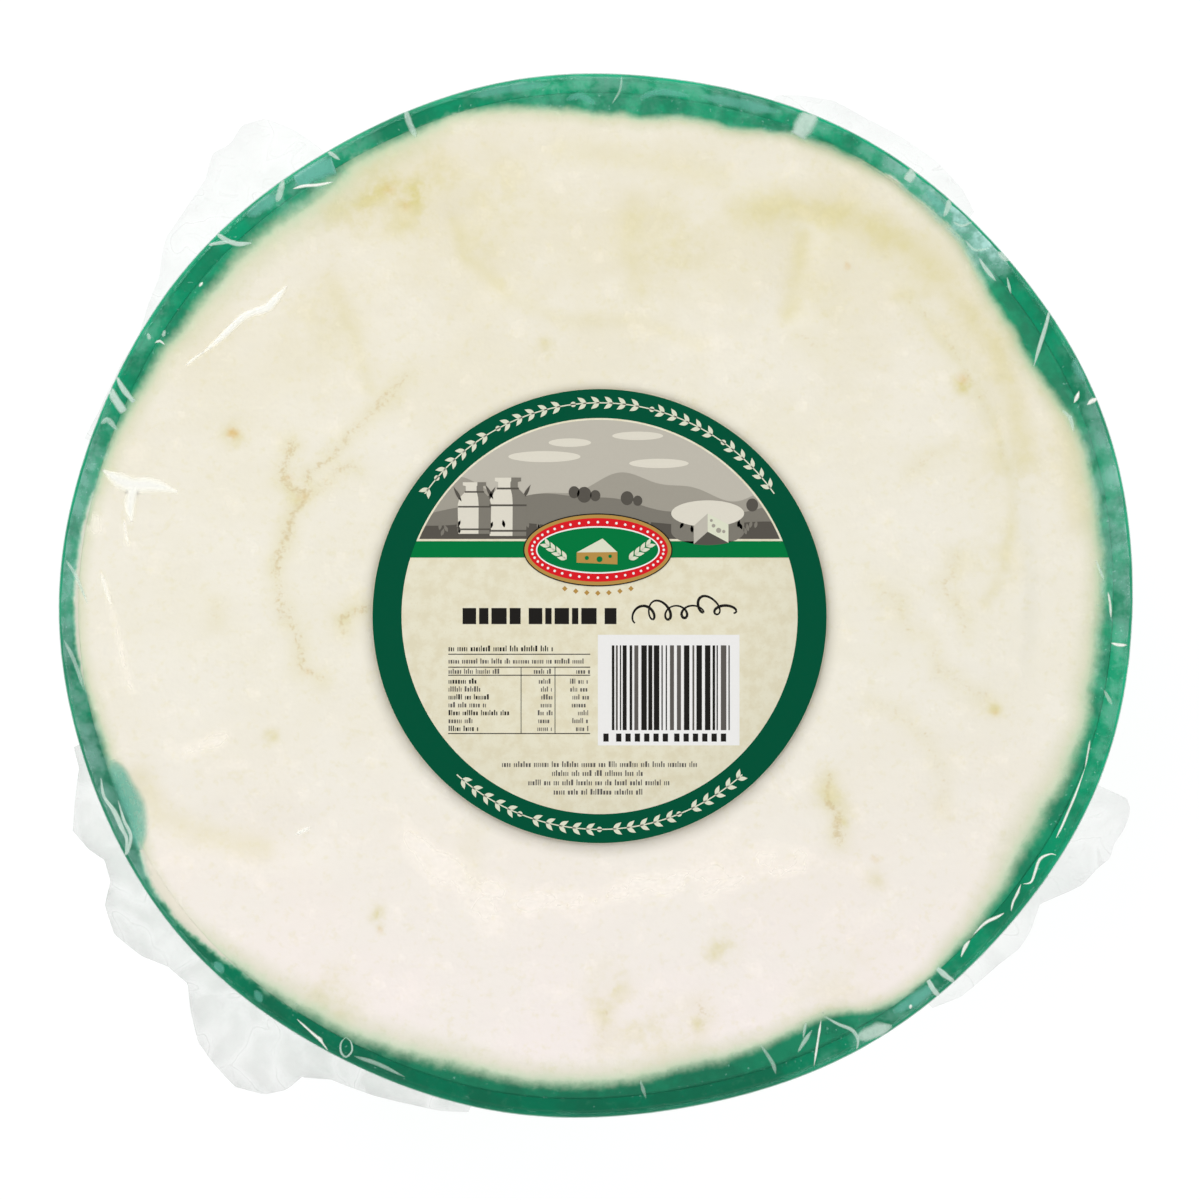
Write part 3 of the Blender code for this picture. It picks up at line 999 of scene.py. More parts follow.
    @property
    def side_top(self) -> float:
        """Radius of the round wheel where it meets the tub's wall at the rim."""
        return self.form.wall(self.form.height) - WALL - self.wall_gap

    def ragged_edge(self, angle: Array) -> Array:
        """Radius at which the curd seems to end when seen from above, over the rim too."""
        rim = around(self.form.rim, angle)
        torn = layered(rim * np.cos(angle), rim * np.sin(angle), self.tears)
        return rim - around(self.widths, angle) + torn

    def from_label(self, x: Array, y: Array) -> Array:
        """How far places lie from the middle of the label."""
        return np.hypot(x - self.label_centre.x, y - self.label_centre.y)

    def top(self, x: Array, y: Array) -> Array:
        """The top's main form, without its edge: crown, ledge and furrows.

        Args:
            x: Places in plan.
            y: See x.

        Returns:
            The height at each place.
        """
        radius, angle = polar(x, y)
        crown = self.form.crown - self.form.height
        height = self.form.height + crown * (1.0 - smooth_step(self.flat_radius, self.side_top, radius))
        turn = (angle - self.ledge_direction + math.pi) % TURN - math.pi
        ends = 1.0 - smooth_step(self.ledge_spread, self.ledge_spread * 1.5, np.abs(turn))
        ledge_end = self.ledge_radius + self.ledge_width
        height -= self.ledge_drop * ends * smooth_step(self.ledge_radius, ledge_end, radius)
        for line, half_width, depth in self.furrows:
            away = off_line(x, y, [from_photo(*point) for point in line])
            height -= depth * np.exp(-((away / half_width) ** 2))
        return height

    def fine_relief(self, x: Array, y: Array) -> Array:
        """Height of the lumps of curd, less the pits and cracks, and nothing under the label."""
        sunk = self.crack_depth * self.crack_mark(x, y, self.crack_relief[0])
        sunk += self.spot_depth * self.blobs(x, y, self.spots)
        shown = smooth_step(self.label_radius - 6 * MM, self.label_radius - 1 * MM, self.from_label(x, y))
        return (layered(x, y, self.lumps) - sunk) * shown

    def crack_mark(self, x: Array, y: Array, half_width: float) -> Array:
        """How near a crack each place is, from 0 to the crack's strength."""
        strays, size, seeds = self.wander
        stray_x, stray_y = (layered(x, y, ((strays, size, seed),)) for seed in seeds)
        lines = [(line, half_width / PHOTO_PIXEL, strength) for line, strength in self.cracks]
        return along_lines(x + stray_x, y + stray_y, lines)

    def streaks(self, x: Array, y: Array) -> Array:
        """Soft darker streaks, where whey has gathered along the ledge and under folds of the film."""
        beside = 0.36 * self.crack_mark(x, y, self.crack_relief[2])
        return np.maximum(along_lines(x, y, self.streak_lines), beside)

    def blobs(self, x: Array, y: Array, listed: tuple) -> Array:
        """Soft ragged spots.

        Args:
            x: Places in plan.
            y: See x.
            listed: The spots, as (place, radius in pixels, strength).

        Returns:
            How strong they are at each place.
        """
        wander_x = rough(x, y, 0 * x, 6 * MM, 31.0)
        wander_y = rough(x, y, 0 * x, 6 * MM, 37.0)
        found = 0 * x
        for place, pixels, strength in listed:
            (bx, by), radius = from_photo(*place), pixels * PHOTO_PIXEL
            ragged = 0.45 * radius
            away = np.hypot(x + ragged * wander_x - bx, y + ragged * wander_y - by)
            found = np.maximum(found, strength * np.exp(-((away / radius) ** 2)))
        return found

    def section(self) -> list[Point]:
        """The round wheel's section, from the middle of the top down to the middle of the base."""
        rim = self.form.height
        section = [(0.0, rim)]
        rings = ((45 * MM, 3), (self.outer_zone, 46), (self.mean_edge, 26), (self.side_top, 6))
        for reach, count in rings:
            section += spread(section[-1], (reach, rim), count)
        bottom = FLOOR + CLEARANCE
        foot_height = bottom + self.corner
        foot = self.form.wall(foot_height) - WALL - CLEARANCE
        section += spread((self.side_top, rim - self.edge_drop), (foot, foot_height), 4)
        section += arc((foot - self.corner, foot_height), self.corner, 0, -90, 4)[1:]
        return section + [(0.0, bottom)]

    def place(self, radius: Array, angle: Array, height: Array) -> tuple[Array, Array, Array]:
        """Where a point of the round wheel goes on the real one.

        Args:
            radius: Its radius on the round wheel.
            angle: Its direction.
            height: Its height there.

        Returns:
            Its radius, direction and height on the squeezed, ragged wheel.
        """
        upper = height > self.form.height - 0.5 * MM
        squeeze = self.form.squeeze(angle, height)
        limit = self.side_top * squeeze
        edge = np.minimum(self.ragged_edge(angle), limit - 0.4 * MM)
        inside = np.clip((radius - self.outer_zone) / (self.mean_edge - self.outer_zone), 0.0, 1.0)
        outside = np.clip((radius - self.mean_edge) / (self.side_top - self.mean_edge), 0.0, 1.0)
        inner = self.outer_zone * squeeze
        mapped = inner + inside * (edge - inner) + outside * (limit - edge)
        moved = np.where(upper & (radius > self.outer_zone), mapped, radius * squeeze)
        x, y = moved * np.cos(angle), moved * np.sin(angle)
        drop = self.edge_drop * smooth_step(edge - 5 * MM, edge, moved)
        surface = self.top(x, y) + self.fine_relief(x, y) - drop
        level = self.form.height - self.edge_drop
        surface = surface + (level - surface) * smooth_step(edge, limit, moved)
        return moved, angle, np.where(upper, surface, height)

    def build(self) -> Object:
        """Builds the wheel, keeps its marks for the finish and dresses it."""
        wheel = turned("curd_wheel", self.section(), self.steps)
        reshape(wheel, self.place)
        x, y, _ = points_of(wheel).T
        radius, angle = polar(x, y)
        edge, fade = self.ragged_edge(angle), around(self.fades, angle)
        mark(wheel, "fringe", np.clip((radius - edge + fade) / (2 * fade), -1.2, 1.5))
        mark(wheel, "crack", self.crack_mark(x, y, self.crack_relief[1]))
        outside = self.from_label(x, y + 0.8 * MM) - self.label_radius
        mark(wheel, "shade", 1.0 - smooth_step(-0.5 * MM, self.halo, outside))
        # Painted shade by direction, for the green at the curd's fringe
        mark(wheel, "dusk", around(self.painted_shade_levels, angle))
        mark(wheel, "stain", self.blobs(x, y, self.stains))
        mark(wheel, "streak", self.streaks(x, y))
        mark(wheel, "spot", self.blobs(x, y, self.spots))
        wheel.data.materials.append(CurdFinish().material())
        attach(wheel, BODY)
        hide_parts("ricotta_wheel")
        return wheel


@dataclass
class Tub:
    """The green tub: a plain tapered shell with a flat lip and a raised bead along its outer edge.

    Attributes:
        form: Outline of the pack.
        curd: The wheel in it, whose edge is smeared over the lip in places.
        steps: Faces round the tub.
        bead: Width of the bead along the lip's outer edge.
        step_down: How far the rest of the lip lies below the bead.
        edge: Rounding of the lip's outer edge.
        mouth_edge: Rounding of its inner edge.
        wall_painted_shade: How much painted shade darkens the wall's green, from 0 to 1.
        wall_uneven: How blotchy it is, from 0 to 1.
    """

    form: PackForm
    curd: RicottaWheel
    steps: int = 720
    bead: float = 1.5 * MM
    step_down: float = 0.2 * MM
    edge: float = 0.6 * MM
    mouth_edge: float = 0.03 * MM
    wall_painted_shade: float = 0.2
    wall_uneven: float = 0.15

    def section(self) -> list[Point]:
        """The round tub's section, from the middle of its floor up, over the lip and down to the base."""
        rim, reach = self.form.height, self.form.mean_rim
        inner_corner = BASE_CORNER - WALL
        foot = self.form.wall(BASE_CORNER) - WALL
        mouth = self.form.wall(rim) - WALL
        flat = rim - self.step_down
        turn = (foot - inner_corner, FLOOR + inner_corner)
        section = [(0.0, FLOOR)] + arc(turn, inner_corner, -90, 0, 6)
        section += spread(section[-1], (mouth, flat - self.mouth_edge), 8)
        section += arc((mouth + self.mouth_edge, flat - self.mouth_edge), self.mouth_edge, 180, 90, 3)[1:]
        section += spread(section[-1], (reach - self.bead, flat), 6)
        bead_foot = reach - self.bead
        section += [(bead_foot + 0.15 * MM, rim - 0.1 * MM), (bead_foot + 0.3 * MM, rim)]
        section += arc((reach - self.edge, rim - self.edge), self.edge, 90, 0, 4)
        lip_foot = rim - LIP_DEPTH
        skirt = self.form.wall(lip_foot)
        section += [(reach, lip_foot + 0.4 * MM), (reach - 0.4 * MM, lip_foot)]
        section += [(skirt + 0.5 * MM, lip_foot), (skirt, lip_foot - 0.5 * MM)]
        base_wall = self.form.wall(BASE_CORNER)
        section += spread(section[-1], (base_wall, BASE_CORNER), 10)
        section += arc((base_wall - BASE_CORNER, BASE_CORNER), BASE_CORNER, 0, -90, 6)[1:]
        return section + [(0.0, 0.0)]

    def build(self) -> Object:
        """Builds the tub, marks where curd is smeared on its lip and dresses it."""
        tub = turned("green_tub", self.section(), self.steps)
        reshape(tub, lambda radius, angle, z: (radius * self.form.squeeze(angle, z), angle, z))
        x, y, z = points_of(tub).T
        radius, angle = polar(x, y)
        edge, fade = self.curd.ragged_edge(angle), around(self.curd.fades, angle)
        on_lip = z > self.form.height - 2 * MM
        mark(tub, "milk", on_lip * (1.0 - smooth_step(edge - 0.7 * fade, edge + 0.7 * fade, radius)))
        # Painted shade: by direction on the lip, and a fixed share on the wall
        mark(tub, "dusk", np.where(on_lip, around(self.curd.painted_shade_levels, angle), self.wall_painted_shade))
        mark(tub, "uneven", np.where(on_lip, 1.0, self.wall_uneven))
        tub.data.materials.append(TubFinish().material())
        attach(tub, BODY)
        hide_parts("tub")
        return tub


@dataclass
class VacuumBag:
    """The clear bag, drawn tight over curd and tub, with the spare film where its two sheets meet.

    Attributes:
        form: Outline of the pack.
        curd: The wheel that the film clings to.
        steps: Faces round the bag.
        cling: Gap between the film and the curd, with lip_gap for the lip and under_gap for the base.
        weld: Half the gap between the two sheets of the spare film.
        spare_width: Width of the spare film on the round bag.
        tuck: How far inside the rim the spare film's hidden edge lies.
        depth_scale: How much wider than in the photograph the spare film is, as it lies deeper.
        flaps: Edge of the spare film in the photograph, one line for each flap that shows.
        top_rings: Rings of faces over the top, as (radius, how many).
        lip_wrap: How the film goes round the lip, as millimetres past the rim and below it.
        pleat_count: How many pleats run in over the lip.
        haze: How milky the film over the green ring is, as (degrees, share).
        spare_haze: How milky the spare film is, as (degrees, share).
        side_haze: How milky the film down the side is.
        crumple: How crumpled the spare film, the side and the film over the ring are.
        sheen_smears: Painted reflections on the film over the curd, as (line, half width in pixels,
            strength).
        ripples: Layers of random waves in the film over the top, and crumples those in the spare film.
        seed: Another number gives other pleats.
    """

    form: PackForm
    curd: RicottaWheel
    steps: int = 900
    cling: float = 0.3 * MM
    lip_gap: float = 0.12 * MM
    under_gap: float = 0.06 * MM
    weld: float = 0.12 * MM
    spare_width: float = 20 * MM
    tuck: float = 1.5 * MM
    depth_scale: float = 1.021
    flaps: tuple = (
        ((975, 212), (964, 189), (936, 158), (902, 134), (866, 116), (834, 99), (800, 94), (772, 95)),
        (
            (326, 152), (312, 141), (290, 126), (263, 116), (240, 123), (229, 142), (211, 152), (204, 178),
            (184, 206), (164, 236), (160, 253), (157, 276), (147, 302), (138, 334), (112, 380), (98, 410),
            (82, 440),
        ),
        (
            (72, 745), (78, 768), (73, 800), (70, 832), (86, 850), (103, 861), (109, 882), (103, 906),
            (112, 936), (140, 958), (166, 968), (186, 985), (189, 1015), (196, 1045), (212, 1068),
            (233, 1090), (263, 1097), (286, 1092), (300, 1079), (330, 1081), (370, 1096), (410, 1106),
            (440, 1112), (470, 1113),
        ),
        (
            (930, 1010), (962, 998), (1000, 966), (1021, 950), (1031, 934), (1041, 905), (1052, 900),
            (1083, 886), (1101, 868), (1112, 860), (1117, 845), (1126, 832), (1131, 819), (1132, 808),
            (1128, 798), (1118, 791), (1100, 787),
        ),
    )
    top_rings: tuple = ((50 * MM, 2), (104 * MM, 38), (124.2 * MM, 23))
    lip_wrap: tuple = ((-0.2, 0.3), (0.2, 1.1), (0.25, 2.6), (0.1, 4.4), (-0.9, 6.5), (-2.0, 9.0))
    pleat_count: int = 110
    haze: tuple = (
        (0, 0.26), (6, 0.40), (14, 0.38), (22, 0.18), (30, 0.05), (38, 0.08), (41, 0.85), (46, 0.85),
        (50, 0.5), (55, 0.38), (60, 0.16), (66, 0.20), (74, 0.16), (82, 0.18), (92, 0.22), (100, 0.16),
        (108, 0.02), (114, 0.05), (119, 0.16), (124, 0.22), (129, 0.20), (134, 0.04), (142, 0.05),
        (150, 0.16), (157, 0.05), (165, 0.34), (172, 0.32), (180, 0.34), (188, 0.18), (197, 0.30),
        (205, 0.24), (211, 0.24), (220, 0.04), (232, 0.03), (245, 0.05), (262, 0.01), (275, 0.0),
        (288, 0.02), (294, 0.06), (300, 0.12), (308, 0.18), (316, 0.05), (330, 0.03), (345, 0.16),
    )
    spare_haze: tuple = (
        (0, 0.05), (45, 0.05), (62, 0.06), (90, 0.05), (115, 0.07), (130, 0.07), (160, 0.08), (195, 0.16),
        (215, 0.24), (245, 0.20), (275, 0.10), (300, 0.06), (318, 0.11), (335, 0.10),
    )
    side_haze: float = 0.06
    crumple: tuple = (0.75, 0.5, 0.10)
    # Painted reflections, drawn as whitish smears
    sheen_smears: tuple = (
        (((84, 470), (92, 500), (96, 530)), 6, 0.5),
        (((111, 604), (121, 648), (131, 690)), 4, 0.5),
        (((190, 752), (206, 746), (226, 736)), 7, 0.8),
        (((210, 768), (226, 764), (244, 765)), 4, 0.6),
        (((413, 842), (432, 862), (455, 880), (478, 900), (498, 920)), 12, 0.8),
        (((413, 842), (468, 876), (520, 903), (590, 899), (658, 880)), 9, 0.8),
        (((640, 888), (720, 869), (796, 857)), 11, 0.8),
        (((700, 893), (752, 876), (800, 866)), 7, 0.6),
        (((640, 330), (700, 342), (740, 352)), 12, 0.25),
    )
    ripples: tuple = ((0.10 * MM, 5 * MM, 41.0), (0.05 * MM, 2.2 * MM, 47.0))
    crumples: tuple = ((1.1 * MM, 9 * MM, 61.0), (0.6 * MM, 4 * MM, 67.0))
    seed: int = 11

    def __post_init__(self) -> None:
        """Draws the pleats, as direction, half width, size and reach inwards, and spaces the tables."""
        draw = random.Random(self.seed)
        self.pleats = [
            (
                draw.uniform(0, TURN),
                draw.uniform(0.006, 0.018),
                draw.uniform(0.2, 1.0) * MM,
                draw.uniform(0.0, 7.0) * MM,
            )
            for _ in range(self.pleat_count)
        ]
        self.ring_haze = by_direction(self.haze, 240)
        self.flap_haze = by_direction(self.spare_haze)

    @property
    def seam(self) -> float:
        """Radius of the round bag where its sheets part, at the tub's wall."""
        return self.form.wall(SEAM_HEIGHT) + 0.9 * MM

    def section(self) -> list[Point]:
        """The round bag's section: over the top, down, out and back along the flange, and underneath."""
        rim, reach = self.form.height, self.form.mean_rim
        section = [(0.0, rim)]
        for radius, rings in self.top_rings:
            section += spread(section[-1], (radius, rim), rings)
        section += [(reach + out * MM, rim - down * MM) for out, down in self.lip_wrap]
        first = rim - 12 * MM
        section += spread(section[-1], (self.form.wall(first) + 0.4 * MM, first), 2)
        section += spread(section[-1], (self.seam, SEAM_HEIGHT + 0.8 * MM), 7)
        tip, upper, lower = self.seam + self.spare_width, SEAM_HEIGHT + self.weld, SEAM_HEIGHT - self.weld
        section += spread((self.seam, upper), (tip, upper), 8)
        section += spread((tip, lower), (self.seam, lower), 4)
        base_wall = self.form.wall(BASE_CORNER) + 0.15 * MM
        section += spread((self.seam, SEAM_HEIGHT - 0.8 * MM), (base_wall, BASE_CORNER), 4)
        under = (base_wall - BASE_CORNER, BASE_CORNER - self.under_gap)
        section += arc(under, BASE_CORNER, 0, -90, 4)[1:]
        return section + [(0.0, -self.under_gap)]

    def pleated(self, angle: Array, inward: Array) -> Array:
        """How far the pleats lift the film at a direction, inward being how far inside the rim it is."""
        lift = 0 * angle
        for direction, half_width, size, reach in self.pleats:
            fading = 1.0 - smooth_step(reach * 0.3, reach + 1 * MM, inward)
            lift += size * bump(angle, direction, half_width) * fading
        return lift

    def over_top(self, radius: Array, angle: Array) -> Array:
        """The film's form over the curd and across the gap to the lip.

        Args:
            radius: Places on the film.
            angle: Their directions.

        Returns:
            The height at each place.
        """
        x, y = radius * np.cos(angle), radius * np.sin(angle)
        rim = around(self.form.rim, angle)
        edge = np.minimum(self.curd.ragged_edge(angle), rim - 4.0 * MM)
        on_curd = self.curd.top(x, y) + self.cling
        on_lip = self.form.height + self.lip_gap
        height = on_curd + (on_lip - on_curd) * smooth_step(edge - 4 * MM, rim - 3.2 * MM, radius)
        near = smooth_step(rim - 16 * MM, rim - 6 * MM, radius)
        waves = layered(x, y, self.ripples)
        label = self.curd.label_radius
        clear = smooth_step(label, label + 4 * MM, self.curd.from_label(x, y))
        by_rim = near * (np.abs(waves) + 0.35 * self.pleated(angle, rim - radius))
        return height + by_rim + 0.4 * waves * clear * (1 - near)

    def film_edge(self, angle: Array) -> Array:
        """Radius of the spare film's angular edge, which shows past the rim only at its flaps."""
        hidden = around(self.form.rim, angle) - self.tuck
        edge = hidden
        for flap in self.flaps:
            reach, turns = polar(*np.array([from_photo(*point) for point in flap]).T)
            turns = turns % TURN
            order = np.argsort(turns)
            shown = np.interp(angle % TURN, turns[order], reach[order] * self.depth_scale)
            within = (angle % TURN > turns[0]) & (angle % TURN < turns[-1])
            edge = np.where(within, np.maximum(shown, hidden), edge)
        return edge

    def over_flange(self, radius: Array, angle: Array, height: Array) -> tuple[Array, Array]:
        """The spare film's form, which droops and is crumpled.

        Args:
            radius: Its radius on the round bag.
            angle: Its direction.
            height: Its height there.

        Returns:
            Its radius and height on the real bag.
        """
        share = (radius - self.seam) / self.spare_width
        inner = self.seam * self.form.squeeze(angle, np.full_like(angle, SEAM_HEIGHT))
        outer = self.film_edge(angle)
        moved = inner + (outer - inner) * share
        x, y = moved * np.cos(angle), moved * np.sin(angle)
        tip = around(self.form.bag_heights, angle) - SEAM_HEIGHT
        loose = layered(x, y, self.crumples) + 0.5 * self.pleated(angle, 0 * angle)
        return moved, height + tip * share**2 + loose * smooth_step(0.05, 0.7, share)

    def place(self, radius: Array, angle: Array, height: Array) -> tuple[Array, Array, Array]:
        """Where a point of the round bag goes on the real one.

        Args:
            radius: Its radius on the round bag.
            angle: Its direction.
            height: Its height there.

        Returns:
            Its radius, direction and height on the drawn-in bag.
        """
        moved = radius * self.form.squeeze(angle, height)
        top = height > self.form.height - 0.01 * MM
        flange = (np.abs(height - SEAM_HEIGHT) < 0.5 * MM) & (radius > self.seam - 0.01 * MM)
        side = ~top & ~flange & (height > SEAM_HEIGHT)
        down = (self.form.height - height) / (self.form.height - SEAM_HEIGHT)
        hem = np.clip(down, 0.0, 1.0) * self.pleated(angle, 0 * angle) * 1.1
        lifted = self.over_top(moved, angle)
        flange_radius, flange_height = self.over_flange(radius, angle, height)
        out_radius = np.where(flange, flange_radius, moved + np.where(side, hem, 0.0))
        out_height = np.where(top, lifted, np.where(flange, flange_height, height))
        return out_radius, angle, out_height

    def build(self) -> Object:
        """Builds the bag, marks how milky and crumpled it is and dresses it."""
        bag = turned("vacuum_film", self.section(), self.steps)
        reshape(bag, self.place)
        x, y, z = points_of(bag).T
        radius, angle = polar(x, y)
        rim = around(self.form.rim, angle)
        inner = rim - around(self.curd.widths, angle)
        on_ring = smooth_step(inner - 1.5 * MM, inner, radius)
        spare = (z < SEAM_HEIGHT + 4 * MM) & (radius > self.seam + 3 * MM)
        side = (z < self.form.height - 2 * MM) & ~spare
        outwards = 0.5 + 0.5 * smooth_step(rim - 5 * MM, rim - 2 * MM, radius)
        haze = around(self.ring_haze, angle) * on_ring * outwards
        haze = np.where(spare, around(self.flap_haze, angle), np.where(side, self.side_haze, haze))
        mark(bag, "haze", haze)
        # Painted reflection: where the film over the curd would mirror light broadly, it is marked to show
        # whitish
        mark(bag, "smear", along_lines(x, y, self.sheen_smears))
        on_spare, down_side, over_ring = self.crumple
        mark(bag, "crumple", np.where(spare, on_spare, np.where(side, down_side, over_ring * on_ring)))
        mark(bag, "gloss", np.where(spare | side, 0.8, 0.25 + 0.75 * on_ring))
        for finish in (FilmFinish(), ClingFinish(), SpareFinish()):
            bag.data.materials.append(finish.material())
        corners = np.array([face.vertices[0] for face in bag.data.polygons])
        clinging = (on_ring[corners] < 0.01) & (z[corners] > self.form.height - 2 * MM)
        # Material 0 is the bare film, 1 the clinging film and 2 the spare film
        numbers = np.where(spare[corners], 2, clinging.astype(np.int32))
        bag.data.polygons.foreach_set("material_index", numbers)
        bag.visible_shadow = False
        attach(bag, BODY)
        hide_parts("vacuum_bag")
        return bag


class FoldKind(Enum):
    """The kinds of mark on the film, each with its finish and its height."""

    # GLINT is a painted highlight: a solid white strip along a ridge where the film would mirror a softbox
    GLINT = (FoldFinish("film_glint", from_srgb(255, 255, 248), 0.0, 1.0, 0.12), 0.45 * MM)
    PLEAT = (FoldFinish("film_pleat", from_srgb(205, 228, 216), 0.35, 0.78, 0.25), 0.30 * MM)
    TEAL = (FoldFinish("film_window", from_srgb(112, 190, 172), 0.3, 0.75, 0.2), 0.14 * MM)

    @property
    def finish(self) -> FoldFinish:
        """The finish of this kind."""
        return self.value[0]

    @property
    def rise(self) -> float:
        """How high this kind stands above the film."""
        return self.value[1]


@dataclass(frozen=True)
class Fold:
    """One mark on the film.

    Attributes:
        kind: What kind it is.
        line: Points along its middle, in pixels of the photograph.
        width: Its width in the same pixels.
        strength: How clearly it shows, from 0 to 1.
        blunt: True if it keeps its width to both ends.
    """

    kind: FoldKind
    line: tuple[Point, ...]
    width: float
    strength: float = 1.0
    blunt: bool = False


GLINT, PLEAT, TEAL = FoldKind

